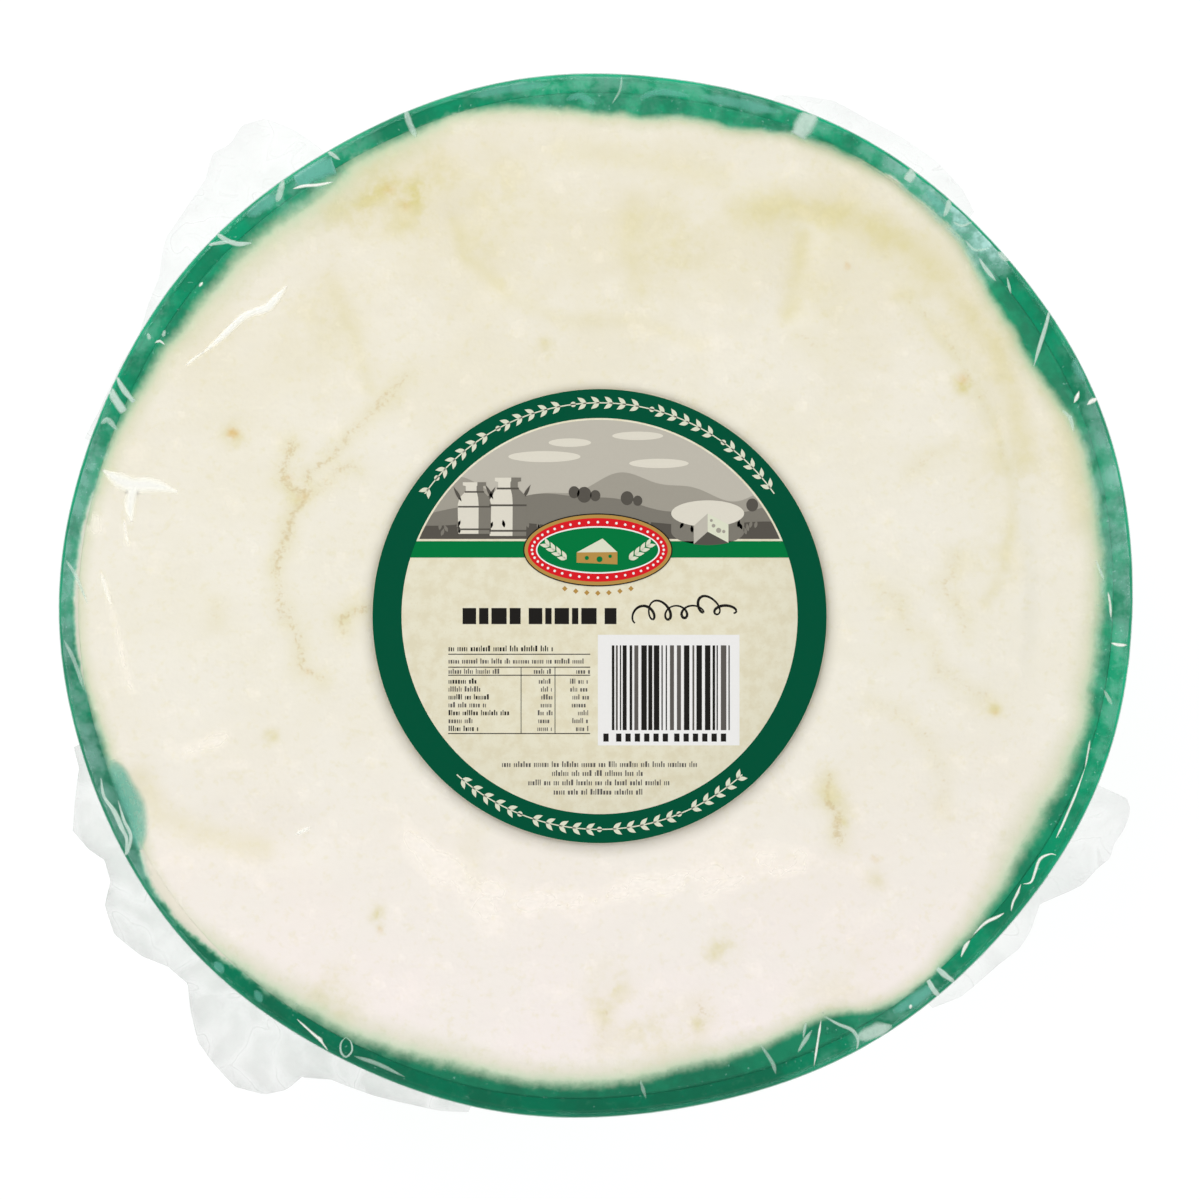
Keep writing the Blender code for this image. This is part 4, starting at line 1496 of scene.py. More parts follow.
FOLDS = (
    # Upper left of the ring
    Fold(PLEAT, ((405, 108), (409, 122), (416, 137)), 7, 0.6),
    Fold(PLEAT, ((325, 149), (340, 160)), 4, 0.8),
    Fold(TEAL, ((296, 182), (312, 172), (334, 165)), 20, 0.9, True),
    Fold(GLINT, ((293, 189), (304, 186), (318, 185), (333, 182)), 3.6, 0.95),
    Fold(PLEAT, ((283, 178), (281, 190), (277, 202)), 7, 0.7),
    Fold(TEAL, ((247, 216), (262, 205), (276, 196)), 15, 0.6),
    Fold(PLEAT, ((216, 233), (226, 240), (238, 244), (252, 243)), 5, 1.0),
    Fold(PLEAT, ((207, 245), (220, 243), (236, 241)), 4, 0.8),
    Fold(GLINT, ((203, 282), (199, 287)), 3, 0.8),
    Fold(GLINT, ((155, 343), (160, 341), (165, 345)), 3, 0.9),
    Fold(PLEAT, ((148, 333), (150, 340)), 4, 0.6),
    Fold(PLEAT, ((165, 330), (163, 337)), 4, 0.6),
    # Left of the ring
    Fold(PLEAT, ((104, 378), (112, 394), (124, 412)), 8, 1.0, True),
    Fold(PLEAT, ((116, 376), (124, 390), (134, 402)), 5, 0.9, True),
    Fold(PLEAT, ((101, 424), (108, 420), (117, 430)), 6, 0.5),
    Fold(PLEAT, ((66, 560), (76, 576), (88, 604)), 4, 0.5),
    Fold(PLEAT, ((64, 640), (74, 660), (84, 690)), 4, 0.4),
    Fold(PLEAT, ((101, 778), (104, 796), (114, 811), (121, 826), (127, 840), (125, 854)), 4, 1.0),
    Fold(PLEAT, ((118, 800), (124, 820), (131, 836), (127, 852), (121, 858)), 3.5, 0.9),
    Fold(TEAL, ((112, 760), (124, 785), (136, 815), (140, 850)), 20, 0.7),
    # Lower left of the ring
    Fold(GLINT, ((297, 1019), (309, 1030), (320, 1040), (329, 1052)), 3.2, 0.8),
    Fold(GLINT, ((318, 1036), (323, 1043)), 4, 0.7),
    Fold(
        PLEAT,
        ((346, 1037), (351, 1042), (352, 1051), (346, 1057), (341, 1052), (341, 1043), (346, 1037)),
        2.2,
        0.7,
    ),
    Fold(PLEAT, ((354, 1056), (378, 1064), (405, 1077)), 4, 0.4),
    Fold(TEAL, ((214, 962), (224, 972)), 9, 0.5),
    Fold(TEAL, ((255, 990), (262, 1002)), 8, 0.4),
    # Bottom of the ring
    Fold(GLINT, ((821, 1020), (818, 1040), (814, 1066)), 2.8, 0.9),
    Fold(PLEAT, ((824, 1016), (838, 1024), (852, 1030), (858, 1040), (856, 1052)), 4, 0.7),
    Fold(PLEAT, ((812, 1030), (804, 1042), (798, 1052)), 4, 0.55),
    Fold(PLEAT, ((806, 1022), (803, 1038)), 3, 0.5),
    Fold(PLEAT, ((857, 1038), (874, 1032), (892, 1026)), 14, 0.75),
    Fold(PLEAT, ((760, 1044), (772, 1062), (776, 1074)), 4, 0.35),
    Fold(PLEAT, ((640, 1080), (646, 1098)), 4, 0.3),
    Fold(TEAL, ((893, 1012), (915, 1000), (934, 986)), 14, 0.6),
    Fold(GLINT, ((911, 1004), (910, 1009)), 4, 0.7),
    # Lower right of the ring
    Fold(PLEAT, ((937, 968), (946, 976), (958, 984)), 5, 0.95, True),
    Fold(PLEAT, ((928, 980), (933, 989), (940, 997)), 5, 0.95, True),
    Fold(GLINT, ((970, 940), (965, 947), (961, 957)), 3.5, 0.9),
    Fold(GLINT, ((973, 935), (985, 923), (997, 917), (1004, 913)), 3.0, 1.0),
    Fold(GLINT, ((1011, 911), (1013, 902), (1017, 894), (1021, 884)), 2.8, 0.9),
    Fold(GLINT, ((1023, 884), (1031, 882), (1035, 872), (1040, 859), (1050, 854), (1056, 855)), 3.0, 1.0),
    Fold(GLINT, ((1056, 838), (1062, 826), (1068, 812), (1076, 793), (1085, 768)), 3.0, 1.0),
    Fold(GLINT, ((1085, 768), (1088, 752), (1090, 740)), 2.4, 0.6),
    # Right of the ring
    Fold(GLINT, ((1111, 643), (1119, 645), (1127, 645)), 3.6, 1.0),
    Fold(GLINT, ((1108, 592), (1110, 604), (1111, 618)), 3, 0.55),
    Fold(PLEAT, ((1096, 560), (1104, 580)), 3, 0.5),
    Fold(PLEAT, ((1104, 690), (1112, 705)), 4, 0.4),
    Fold(GLINT, ((1079, 391), (1077, 397), (1074, 403)), 4, 1.0),
    Fold(GLINT, ((1087, 405), (1092, 401), (1099, 398)), 5, 1.0),
    Fold(PLEAT, ((1062, 410), (1070, 418), (1074, 432)), 4, 0.5),
    Fold(TEAL, ((1075, 358), (1085, 380)), 14, 0.5),
    Fold(PLEAT, ((1050, 308), (1046, 325), (1040, 345), (1034, 366)), 4, 0.95),
    Fold(PLEAT, ((1007, 277), (1009, 286), (1011, 294)), 2.5, 0.6),
    # Upper right of the ring
    Fold(PLEAT, ((998, 252), (1006, 257), (1014, 260)), 8, 0.9),
    Fold(PLEAT, ((979, 258), (986, 269), (996, 281)), 4, 0.8),
    Fold(PLEAT, ((965, 240), (975, 250), (990, 248)), 3, 0.5),
    Fold(PLEAT, ((953, 222), (962, 226), (974, 221)), 3, 0.6),
    Fold(PLEAT, ((950, 198), (948, 207), (944, 217)), 6, 0.7),
    Fold(PLEAT, ((916, 164), (913, 172), (907, 181)), 9, 0.85, True),
    Fold(PLEAT, ((814, 109), (806, 122), (798, 136)), 17, 0.95, True),
    Fold(TEAL, ((925, 190), (938, 204), (945, 214)), 12, 0.5),
    # Top of the ring
    Fold(PLEAT, ((622, 74), (620, 90), (612, 104)), 2.5, 0.35),
    Fold(TEAL, ((566, 100), (580, 96), (596, 104)), 8, 0.45),
    Fold(TEAL, ((640, 98), (660, 92), (690, 96)), 8, 0.45),
    Fold(TEAL, ((470, 97), (510, 88), (550, 84)), 9, 0.4),
    Fold(TEAL, ((700, 96), (740, 104), (780, 112)), 10, 0.45),
    # On the curd
    Fold(GLINT, ((186, 366), (194, 359), (204, 352)), 4, 0.55),
    Fold(
        GLINT,
        ((202, 354), (221, 338), (241, 319), (252, 313), (267, 308), (277, 298), (287, 286)),
        9,
        1.0,
    ),
    Fold(GLINT, ((103, 470), (117, 479), (133, 485), (154, 485), (178, 492)), 15, 1.0),
    Fold(GLINT, ((137, 482), (132, 494), (130, 506), (132, 522)), 10, 0.9),
    Fold(GLINT, ((124, 520), (126, 532), (129, 546)), 4, 0.35),
    Fold(GLINT, ((101, 573), (106, 588), (111, 604)), 6, 0.4),
    Fold(GLINT, ((296, 834), (303, 831), (310, 827)), 5, 0.9),
)


@dataclass
class FilmFolds:
    """The sharp folds and glints on the film, each a thin ridge that lies along its surface.

    Attributes:
        form: Outline of the pack.
        bag: The film's piece, which the folds lie on.
        across: Faces across a fold.
        every: Length of one face along a fold.
        lift: Gap between a fold and the film.
        thickness: Thickness of a fold.
        spread_out: How much wider a fold is laid than it looks, as it fades out at its sides.
        past_rim: How far past the rim a fold may reach.
        from_above: Height from which the film is felt for.
    """

    form: PackForm
    bag: Object
    across: int = 8
    every: float = 0.7 * MM
    lift: float = 0.05 * MM
    thickness: float = 0.04 * MM
    spread_out: float = 1.35
    past_rim: float = 0.15 * MM
    from_above: float = 0.2

    def __post_init__(self) -> None:
        """Prepares to measure the film's height."""
        self.film = BVHTree.FromObject(self.bag, bpy.context.evaluated_depsgraph_get())

    def height(self, x: float, y: float) -> float:
        """Height of the film at a place."""
        hit = self.film.ray_cast(Vector((x, y, self.from_above)), Vector((0, 0, -1)))[0]
        return hit.z if hit else self.form.height

    @staticmethod
    def along(line: Array, share: Array) -> tuple[Array, Array]:
        """Points and directions of a smooth curve through a line's points.

        Args:
            line: The points, one row each.
            share: How far along to read, from 0 to 1.

        Returns:
            The points and the unit directions there.
        """
        padded = np.vstack((2 * line[0] - line[1], line, 2 * line[-1] - line[-2]))
        runs = len(line) - 1
        place = np.clip(share, 0.0, 1.0 - 1e-9) * runs
        first = np.floor(place).astype(int)
        t = (place - first)[:, None]
        a, b, c, d = (padded[first + k] for k in range(4))
        bend = 2 * a - 5 * b + 4 * c - d
        twist = 3 * (b - c) + d - a
        points = b + 0.5 * t * (c - a + t * (bend + t * twist))
        heading = 0.5 * (c - a + t * (2 * bend + 3 * t * twist))
        return points, heading / np.linalg.norm(heading, axis=1)[:, None]

    def build_fold(self, fold: Fold) -> Object:
        """Lays one fold on the film.

        Args:
            fold: What it is and where it lies.

        Returns:
            Its piece, with a solid wall.
        """
        line = np.array([from_photo(*point) for point in fold.line])
        length = float(np.hypot(*np.diff(line, axis=0).T).sum())
        runs = max(4, round(length / self.every))
        deselect()
        bpy.ops.mesh.primitive_grid_add(x_subdivisions=runs, y_subdivisions=self.across, size=2)
        piece = named("fold")
        share, side, _ = points_of(piece).T
        share = (share + 1) / 2
        middle, heading = self.along(line, share)
        taper = np.sin(np.pi * np.clip(share, 0.02, 0.98)) ** (0.05 if fold.blunt else 0.45)
        half = self.spread_out * 0.5 * fold.width * PHOTO_PIXEL * taper
        half = half * (1.0 + 0.25 * rough(share, side * 0, side * 0, 0.23, length * 1e4))
        x = middle[:, 0] - heading[:, 1] * side * half
        y = middle[:, 1] + heading[:, 0] * side * half
        radius, angle = polar(x, y)
        inside = np.minimum(radius, around(self.form.rim, angle) + self.past_rim) / radius
        x, y = x * inside, y * inside
        ridge = (1.0 - side**2) * fold.kind.rise * np.minimum(1.0, half / (0.6 * MM))
        z = np.array([self.height(a, b) for a, b in zip(x, y)]) + self.lift + ridge
        move_points(piece, np.column_stack((x, y, z)))
        mark(piece, "across", np.abs(side))
        mark(piece, "strength", np.full(len(side), fold.strength) * np.minimum(1.0, taper * 1.3))
        wall = piece.modifiers.new("Wall", "SOLIDIFY")
        wall.thickness = self.thickness
        apply_modifiers(piece)
        bpy.ops.object.shade_smooth()
        return piece

    def build(self) -> list[Object]:
        """Builds one piece for each kind of fold and dresses it."""
        made = []
        for kind in FoldKind:
            pieces = [self.build_fold(fold) for fold in FOLDS if fold.kind is kind]
            piece = joined(kind.finish.name, pieces)
            piece.data.materials.append(kind.finish.material())
            piece.visible_shadow = False
            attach(piece, BODY)
            made.append(piece)
        return made


@dataclass
class Print:
    """Flat shapes on the label, in its own millimetres, gathered by ink and made one thin piece an ink.

    Attributes:
        centre: Middle of the label on the pack.
        base: Height of the bare paper.
        step: Height from one layer of ink to the next.
        shapes: The shapes of each ink.
        units: Shapes that are stamped many times, by name.
    """

    centre: Vector
    base: float
    step: float = 0.010 * MM
    shapes: dict[Ink, list[Object]] = field(default_factory=dict)
    units: dict[str, Object] = field(default_factory=dict)

    def unit(self, name: str, points: Iterable[Point]) -> str:
        """Makes a shape for stamp.

        Args:
            name: The shape's name.
            points: Its outline, either way round.

        Returns:
            The name.
        """
        rows = np.array(list(points))
        x, y = rows.T
        area = np.sum(x * np.roll(y, -1) - np.roll(x, -1) * y)
        order = 1 if area > 0 else -1
        deselect()
        bpy.ops.mesh.primitive_circle_add(vertices=len(rows), radius=1, fill_type="NGON")
        self.units[name] = named(name)
        move_points(self.units[name], np.column_stack((rows[::order], 0 * x)))
        return name

    def stamp(
        self, ink: Ink, level: int, name: str, at: Point = (0, 0), size: Point = (1, 1), turn: float = 0
    ) -> None:
        """Prints a copy of a unit shape.

        Args:
            ink: Its ink.
            level: Its layer, counted up from the paper.
            name: The unit shape.
            at: Where its origin goes.
            size: How much wider and higher it gets.
            turn: How far it is turned, in radians.
        """
        twin = copied(self.units[name])
        along, up, _ = (points_of(twin) * (*size, 0)).T
        x = at[0] + along * math.cos(turn) - up * math.sin(turn)
        y = at[1] + along * math.sin(turn) + up * math.cos(turn)
        height = np.full(len(x), self.base + level * self.step)
        move_points(twin, np.column_stack((self.centre.x + x * MM, self.centre.y + y * MM, height)))
        self.shapes.setdefault(ink, []).append(twin)

    def shape(self, ink: Ink, level: int, points: Iterable[Point]) -> None:
        """Prints one outline as it is."""
        self.stamp(ink, level, self.unit(f"outline_{len(self.units)}", points))

    def bar(self, ink: Ink, level: int, low: Point, high: Point) -> None:
        """Prints a rectangle from its lower left to its upper right corner."""
        middle = ((low[0] + high[0]) / 2, (low[1] + high[1]) / 2)
        self.stamp(ink, level, "square", middle, (high[0] - low[0], high[1] - low[1]))

    def stroke(self, ink: Ink, level: int, line: Array, half_widths: Array) -> None:
        """Prints a band along a line.

        Args:
            ink: Its ink.
            level: Its layer.
            line: Points along its middle, one row each, close enough to look smooth.
            half_widths: Half its width at each point.
        """
        heading = np.gradient(line, axis=0)
        heading /= np.linalg.norm(heading, axis=1)[:, None]
        across = np.column_stack((-heading[:, 1], heading[:, 0])) * np.reshape(half_widths, (-1, 1))
        self.shape(ink, level, np.vstack((line - across, (line + across)[::-1])))

    def finish(self) -> list[Object]:
        """Joins each ink's shapes, gives them the thickness of print and dresses them."""
        for unit in self.units.values():
            bpy.data.objects.remove(unit)
        made = []
        for ink, shapes in self.shapes.items():
            piece = joined("print_" + ink.name.lower(), shapes)
            wall = piece.modifiers.new("Thickness", "SOLIDIFY")
            wall.thickness = 0.8 * self.step
            apply_modifiers(piece)
            piece.data.materials.append(ink.material())
            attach(piece, BODY)
            made.append(piece)
        return made


def circle_points(radius: float, first: float = 0.0, last: float = 360.0, steps: int = 180) -> Array:
    """Points on a circle from one angle in degrees to another, without the last one on a full turn."""
    angles = np.radians(np.linspace(first, last, steps + 1))
    if last - first == 360.0:
        angles = angles[:-1]
    return radius * np.column_stack((np.cos(angles), np.sin(angles)))


@dataclass
class Label:
    """The round paper label, with plain print of its own: no words, names or marks.

    Attributes:
        seed: Another number gives other word and bar rhythms.
        thickness: Thickness of the paper.
        soft: Rounding of the paper's edge.
        inner: Radius of the part inside the printed border. This and all that follow are in millimetres.
        picture_radius: Radius of the picture's round edge.
        picture_foot: Height at which the picture ends.
        band: Foot and top of the green band.
        garland: Radius of the garland in the border.
        seal_centre: Middle of the oval seal, whose half width and half height are seal_half.
        box: Lower left and upper right corner of the bar code's white box.
        bars: The same of its bars.
        table: The same of the ruled table.
        table_rule: Height of the rule under the table's first row.
        title: Widths of the title's blocks, each with the gap after it.
    """

    seed: int = 5
    thickness: float = 0.36 * MM
    soft: float = 0.08 * MM
    inner: float = 46.7
    picture_radius: float = 46.25
    picture_foot: float = 18.2
    band: Point = (13.8, 17.65)
    garland: float = 50.3
    seal_centre: Point = (-0.4, 15.6)
    seal_half: Point = (17.6, 8.6)
    box: tuple = ((-0.4, -30.5), (33.0, -4.4))
    bars: tuple = ((2.9, -26.9), (30.8, -6.9))
    table: tuple = ((-35.7, -27.7), (-2.2, -9.0))
    table_rule: float = -12.05
    title: tuple = (
        (3.2, 0.7), (2.2, 0.7), (3.6, 0.7), (2.6, 1.9), (3.2, 0.7), (1.5, 0.7), (3.4, 0.7), (1.5, 0.7),
        (3.6, 1.9), (2.8, 0.7),
    )

    def __post_init__(self) -> None:
        """Finds where the label lies."""
        low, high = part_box("label")
        self.centre, self.foot = (low + high) / 2, low.z
        self.radius = (high.x - low.x) / 2
        self.draw = random.Random(self.seed)
        self.print = Print(self.centre, self.foot + self.thickness)

    def paper(self) -> Object:
        """Builds the paper disc, its edge rounded off."""
        top, reach, foot, soft = self.foot + self.thickness, self.radius, self.foot, self.soft
        section = [(0.0, top), (reach * 0.5, top), (reach - soft, top), (reach, top - soft)]
        section += [(reach, foot + soft), (reach - soft, foot), (0.0, foot)]
        paper = turned("label_disc", section, 256)
        move_points(paper, points_of(paper) + (self.centre.x, self.centre.y, 0))
        paper.data.materials.append(PaperFinish().material())
        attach(paper, BODY)
        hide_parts("label")
        return paper

    def add_units(self) -> None:
        """Makes the shapes that are stamped many times."""
        self.print.unit("square", ((-0.5, -0.5), (0.5, -0.5), (0.5, 0.5), (-0.5, 0.5)))
        self.print.unit("dot", circle_points(1.0, steps=24))
        self.print.unit("disc", circle_points(1.0, steps=96))
        run = np.linspace(0.0, 1.0, 9)
        belly = 0.25 * np.sin(np.pi * run) * (1.2 - 0.5 * run)
        low, high = np.column_stack((run, -belly)), np.column_stack((run, belly))
        self.print.unit("leaf", np.vstack((low, high[-2:0:-1])))

    def add_border(self) -> None:
        """Prints the dark border and the garland of leaves and beads in it."""
        edge = self.radius / MM - 0.05
        for first in (0, 180):
            outer = circle_points(edge, first, first + 180, 120)
            inner = circle_points(self.inner, first + 180, first, 120)
            self.print.shape(Ink.BORDER, 1, np.vstack((outer, inner)))
        for first, last in ((35, 145), (228, 312)):
            stem = circle_points(self.garland, first, last, 60)
            self.print.stroke(Ink.CREAM, 2, stem, np.full(len(stem), 0.14))
            pairs = round((last - first) / 3.6)
            for k in range(pairs):
                turn = math.radians(first + (k + 0.5) * (last - first) / pairs)
                at = (self.garland * math.cos(turn), self.garland * math.sin(turn))
                ahead = turn + math.pi / 2
                if k % 6 == 5:
                    self.print.stamp(Ink.CREAM, 2, "dot", at, (0.62, 0.62))
                    continue
                for side in (-1, 1):
                    self.print.stamp(Ink.CREAM, 2, "leaf", at, (2.5, 2.1), ahead + side * 0.62)

    def hill(self, ink: Ink, level: int, height: Callable[[Array], Array]) -> None:
        """Prints all that lies under a skyline, down to the picture's foot and inside its round edge.

        Args:
            ink: Its ink.
            level: Its layer.
            height: The skyline's height for each place across.
        """
        reach = math.sqrt(self.picture_radius**2 - self.picture_foot**2)
        x = np.linspace(-reach, reach, 121)
        top = np.minimum(height(x), np.sqrt(self.picture_radius**2 - x**2))
        top[[0, -1]] = self.picture_foot
        self.print.shape(ink, level, np.column_stack((x, top)))

    def churn(self, at: Point, size: float) -> None:
        """Prints a milk churn.

        Args:
            at: Where it stands.
            size: How big it is.
        """
        x, y = at
        half = ((0.50, 0.0), (0.52, 0.9), (0.46, 1.12), (0.27, 1.32), (0.27, 1.48), (0.36, 1.5))
        half = np.array((*half, (0.36, 1.6)))
        for ink, level, name, side in ((Ink.PALE, 6, "churn", -1), (Ink.NEAR, 7, "churn_shade", 0.25)):
            outline = np.vstack((half, half[::-1] * (side, 1)))
            self.print.stamp(ink, level, self.print.unit(f"{name}_{x}", outline), at, (size, size))
        for rise, width in ((0.14, 1.02), (0.84, 1.02), (1.3, 0.6)):
            self.print.stamp(Ink.SHADE, 8, "square", (x, y + rise * size), (width * size, 0.05 * size))
        for side in (-1, 1):
            turn = math.pi / 2 - side * 0.5
            handle = (x + side * 0.40 * size, y + 1.0 * size)
            self.print.stamp(Ink.SHADE, 6, "leaf", handle, (4.0, 1.6), turn)

    def add_picture(self) -> None:
        """Prints a grey farmland scene: hills, bushes, two churns and a cheese with a wedge taken out."""
        self.hill(Ink.SKY, 1, lambda x: np.full_like(x, 99.0))
        clouds = ((-13, 37.6, 8.5, 1.3), (-7, 40.9, 5, 1.0), (14, 36.0, 7, 1.1), (9, 42.5, 6, 1.0))
        for x, y, width, height in clouds:
            self.print.stamp(Ink.PALE, 2, "disc", (x, y), (width, height))
        self.hill(Ink.FAR, 2, lambda x: 30.5 + 2.6 * np.sin(x / 7.5 + 0.6) + 0.9 * np.sin(x / 2.9))
        self.hill(Ink.NEAR, 3, lambda x: 26.5 + 2.2 * np.sin(x / 11.0 + 2.4) + 0.4 * np.sin(x / 3.1))
        bushes = ((-6, 29.2, 1.3), (-3.6, 28.6, 1.7), (-1, 28.4, 1.2))
        bushes += ((6.5, 27.8, 1.5), (9, 27.2, 1.1), (36, 26.2, 1.4))
        for x, y, size in bushes:
            self.print.stamp(Ink.SHADE, 4, "dot", (x, y), (size, size * 1.1))
        self.hill(Ink.SHADE, 5, lambda x: 21.8 + 0.5 * np.sin(x / 5.0))
        for _ in range(26):
            at = (self.draw.uniform(-38, 38), self.draw.uniform(18.8, 21.0))
            self.print.stamp(Ink.NEAR, 6, "leaf", at, (1.9, 1.6), math.radians(self.draw.uniform(60, 120)))
        self.churn((-29.5, 19.4), 7.6)
        self.churn((-21.6, 18.9), 8.6)
        self.add_wheel((25.5, 24.2), 8.6)

    def add_wheel(self, at: Point, size: float) -> None:
        """Prints a wheel of cheese, seen a little from above, with a wedge taken out.

        Args:
            at: Middle of its top.
            size: Its radius.
        """
        x, y = at
        tall = 0.50 * size
        squash = np.array((1.0, 0.36))
        front, back = circle_points(size, 180, 360, 40) * squash, circle_points(size, 0, 180, 40) * squash
        side = np.vstack((front - (0, tall), back))
        self.print.stamp(Ink.NEAR, 6, self.print.unit("wheel_side", side), at)
        self.print.stamp(Ink.PALE, 7, "disc", at, (size, 0.36 * size))
        rim = circle_points(size * 1.02, 248, 304, 16) * squash
        low = rim - (0, tall)
        gap = np.vstack(((0, 0), rim[:1], low, rim[-1:]))
        self.print.stamp(Ink.SHADE, 8, self.print.unit("gap", gap), at)
        left = np.array(((0.0, 0.0), rim[0], low[0], (0.0, -tall)))
        right = np.array(((0.0, 0.0), (0.0, -tall), low[-1], rim[-1]))
        self.print.stamp(Ink.SKY, 9, self.print.unit("cut_left", left), at)
        self.print.stamp(Ink.CREAM, 9, self.print.unit("cut_right", right), at)
        holes = ((0.16, -0.42, 0.05), (0.30, -0.58, 0.07), (0.44, -0.62, 0.045), (0.10, -0.24, 0.04))
        for dx, dy, hole in holes:
            place = (x + dx * size, y + dy * size * 0.8)
            self.print.stamp(Ink.FAR, 10, "dot", place, (hole * size, hole * size))

    def add_seal(self) -> None:
        """Prints the green band and, over it, an oval seal with a slice of cheese between two sprigs."""
        low, high = (math.degrees(math.asin(y / self.inner)) for y in self.band)
        right = circle_points(self.inner, low, high, 6)
        left = circle_points(self.inner, 180 - high, 180 - low, 6)
        self.print.shape(Ink.BAND, 6, np.vstack((right, left)))
        rings = ((Ink.BLACK, 0.0), (Ink.GOLD, 0.28), (Ink.RED, 1.1), (Ink.WHITE, 3.0), (Ink.BAND, 3.35))
        (x, y), (wide, high) = self.seal_centre, self.seal_half
        for level, (ink, inset) in enumerate(rings, start=11):
            self.print.stamp(ink, level, "disc", (x, y), (wide - inset, high - inset))
        beads = 44
        for k in range(beads):
            turn = TURN * k / beads
            at = (x + (wide - 2.05) * math.cos(turn), y + (high - 2.05) * math.sin(turn))
            self.print.stamp(Ink.WHITE, 16, "dot", at, (0.3, 0.3))
        slice_side = ((-5.2, -0.6), (4.4, -0.5), (4.4, -3.4), (-5.2, -3.0))
        slice_top = ((-5.2, -0.6), (4.4, -0.5), (0.9, 2.7))
        self.print.stamp(Ink.GOLD, 16, self.print.unit("slice_side", slice_side), (x + 0.2, y))
        self.print.stamp(Ink.CREAM, 17, self.print.unit("slice_top", slice_top), (x + 0.2, y))
        for dx, dy, hole in ((-2.6, -1.9, 0.5), (0.4, -2.2, 0.7), (2.9, -1.5, 0.42)):
            self.print.stamp(Ink.BAND, 17, "dot", (x + dx, y + dy), (hole, hole))
        for side in (-1, 1):
            for k in range(4):
                at = (x + side * (7.4 + 1.35 * k), y - 2.2 + 1.0 * k)
                for spread_turn in (0.2, 1.1):
                    turn = math.pi / 2 - side * (math.pi / 2 - spread_turn)
                    self.print.stamp(Ink.CREAM, 17, "leaf", at, (2.3, 1.9), turn)
        for k in range(-3, 4):
            at = (x + 2.6 * k, y - high - 1.6 + 0.12 * k * k)
            self.print.stamp(Ink.GOLD, 2, "square", at, (0.9, 0.9), math.pi / 4)

    def add_title(self) -> None:
        """Prints a row of heavy blocks and a hand-drawn flourish where a title goes."""
        x = -32.3
        for width, gap in self.title:
            self.print.bar(Ink.BLACK, 1, (x, -1.9), (x + width, 1.9))
            x += width + gap
        turn = np.linspace(0.0, 1.0, 150)
        loops = TURN * 6 * turn
        x = 8.4 + 23.2 * turn - 1.5 * np.sin(loops)
        y = 0.4 + 1.2 * turn - 2.0 * np.cos(loops) * (1 - 0.55 * turn)
        y += 2.6 * np.exp(-(((turn - 0.72) / 0.06) ** 2)) + 1.6 * np.exp(-(((turn - 0.22) / 0.05) ** 2))
        self.pieces_of_line(np.column_stack((x, y)), 0.26)

    def pieces_of_line(self, line: Array, half_width: float) -> None:
        """Prints a line that crosses itself, as short runs that overlap by one point."""
        run = 6
        for start in range(0, len(line) - 1, run):
            part = line[start : start + run + 1]
            turn = np.linspace(start, start + len(part) - 1, len(part)) / len(line)
            pressed = half_width * (0.75 + 0.5 * np.sin(np.pi * 5 * turn) ** 2)
            self.print.stroke(Ink.BLACK, 1 + start // run % 2, part, pressed)

    def words(self, low: Point, width: float, height: float, ink: Ink = Ink.GREY) -> None:
        """Prints a line of fine upright strokes in the rhythm of words.

        Args:
            low: Lower left corner.
            width: How long the line is.
            height: How high its tall strokes are.
            ink: Its ink.
        """
        x, end = low[0], low[0] + width
        while x < end - 0.2 * height:
            letters = self.draw.randint(3, 8)
            for _ in range(letters):
                if x > end - 0.2 * height:
                    break
                tall = height * self.draw.choice((0.68, 0.68, 0.72, 1.0))
                thick = height * self.draw.choice((0.16, 0.22, 0.34))
                self.print.bar(ink, 1, (x, low[1]), (x + thick, low[1] + tall))
                x += thick + 0.18 * height
            x += 0.42 * height

    def add_table(self) -> None:
        """Prints a ruled table with rows of fine strokes."""
        (left, foot), (right, top) = self.table
        for y in (top, self.table_rule, -13.95, foot):
            self.print.bar(Ink.BLACK, 1, (left, y - 0.11), (right, y + 0.11))
        for x in (-18.5, -10.5):
            self.print.bar(Ink.BLACK, 1, (x - 0.09, foot), (x + 0.09, self.table_rule))
        self.words((left + 0.1, -8.3), 25.0, 1.35, Ink.BLACK)
        self.words((left + 0.1, -11.2), 32.5, 1.2)
        self.words((left + 0.1, -13.6), 11.8, 1.2)
        for k, width in enumerate((7.0, 7.6, 9.6, 9.2, 14.2, 6.4, 7.2)):
            y = -15.95 - 1.86 * k
            self.words((left + 0.1, y), width, 1.25, Ink.BLACK if k % 2 == 0 else Ink.GREY)
        for k in range(8):
            y = -13.6 if k == 0 else -15.95 - 1.86 * (k - 1)
            for right_edge in (-11.1, -2.4):
                width = self.draw.uniform(2.6, 4.6)
                self.words((right_edge - width, y), width, 1.2)

    def add_bar_code(self) -> None:
        """Prints the white box with a made-up pattern of bars and a row of small blocks."""
        self.print.bar(Ink.WHITE, 1, *self.box)
        (x, foot), (end, top) = self.bars
        while x < end:
            width = self.draw.choice((0.3, 0.45, 0.6, 0.95, 1.3))
            ink = self.draw.choice((Ink.BLACK, Ink.BLACK, Ink.BLACK, Ink.GREY))
            self.print.bar(ink, 2, (x, foot), (min(x + width, end), top))
            x += width + self.draw.choice((0.35, 0.5, 0.7))
        for k in range(13):
            x = 0.9 + 2.2 * k + (0.8 if k else 0) + (0.5 if k > 6 else 0)
            self.print.bar(Ink.BLACK, 2, (x, -29.6), (x + 1.25, -27.7))

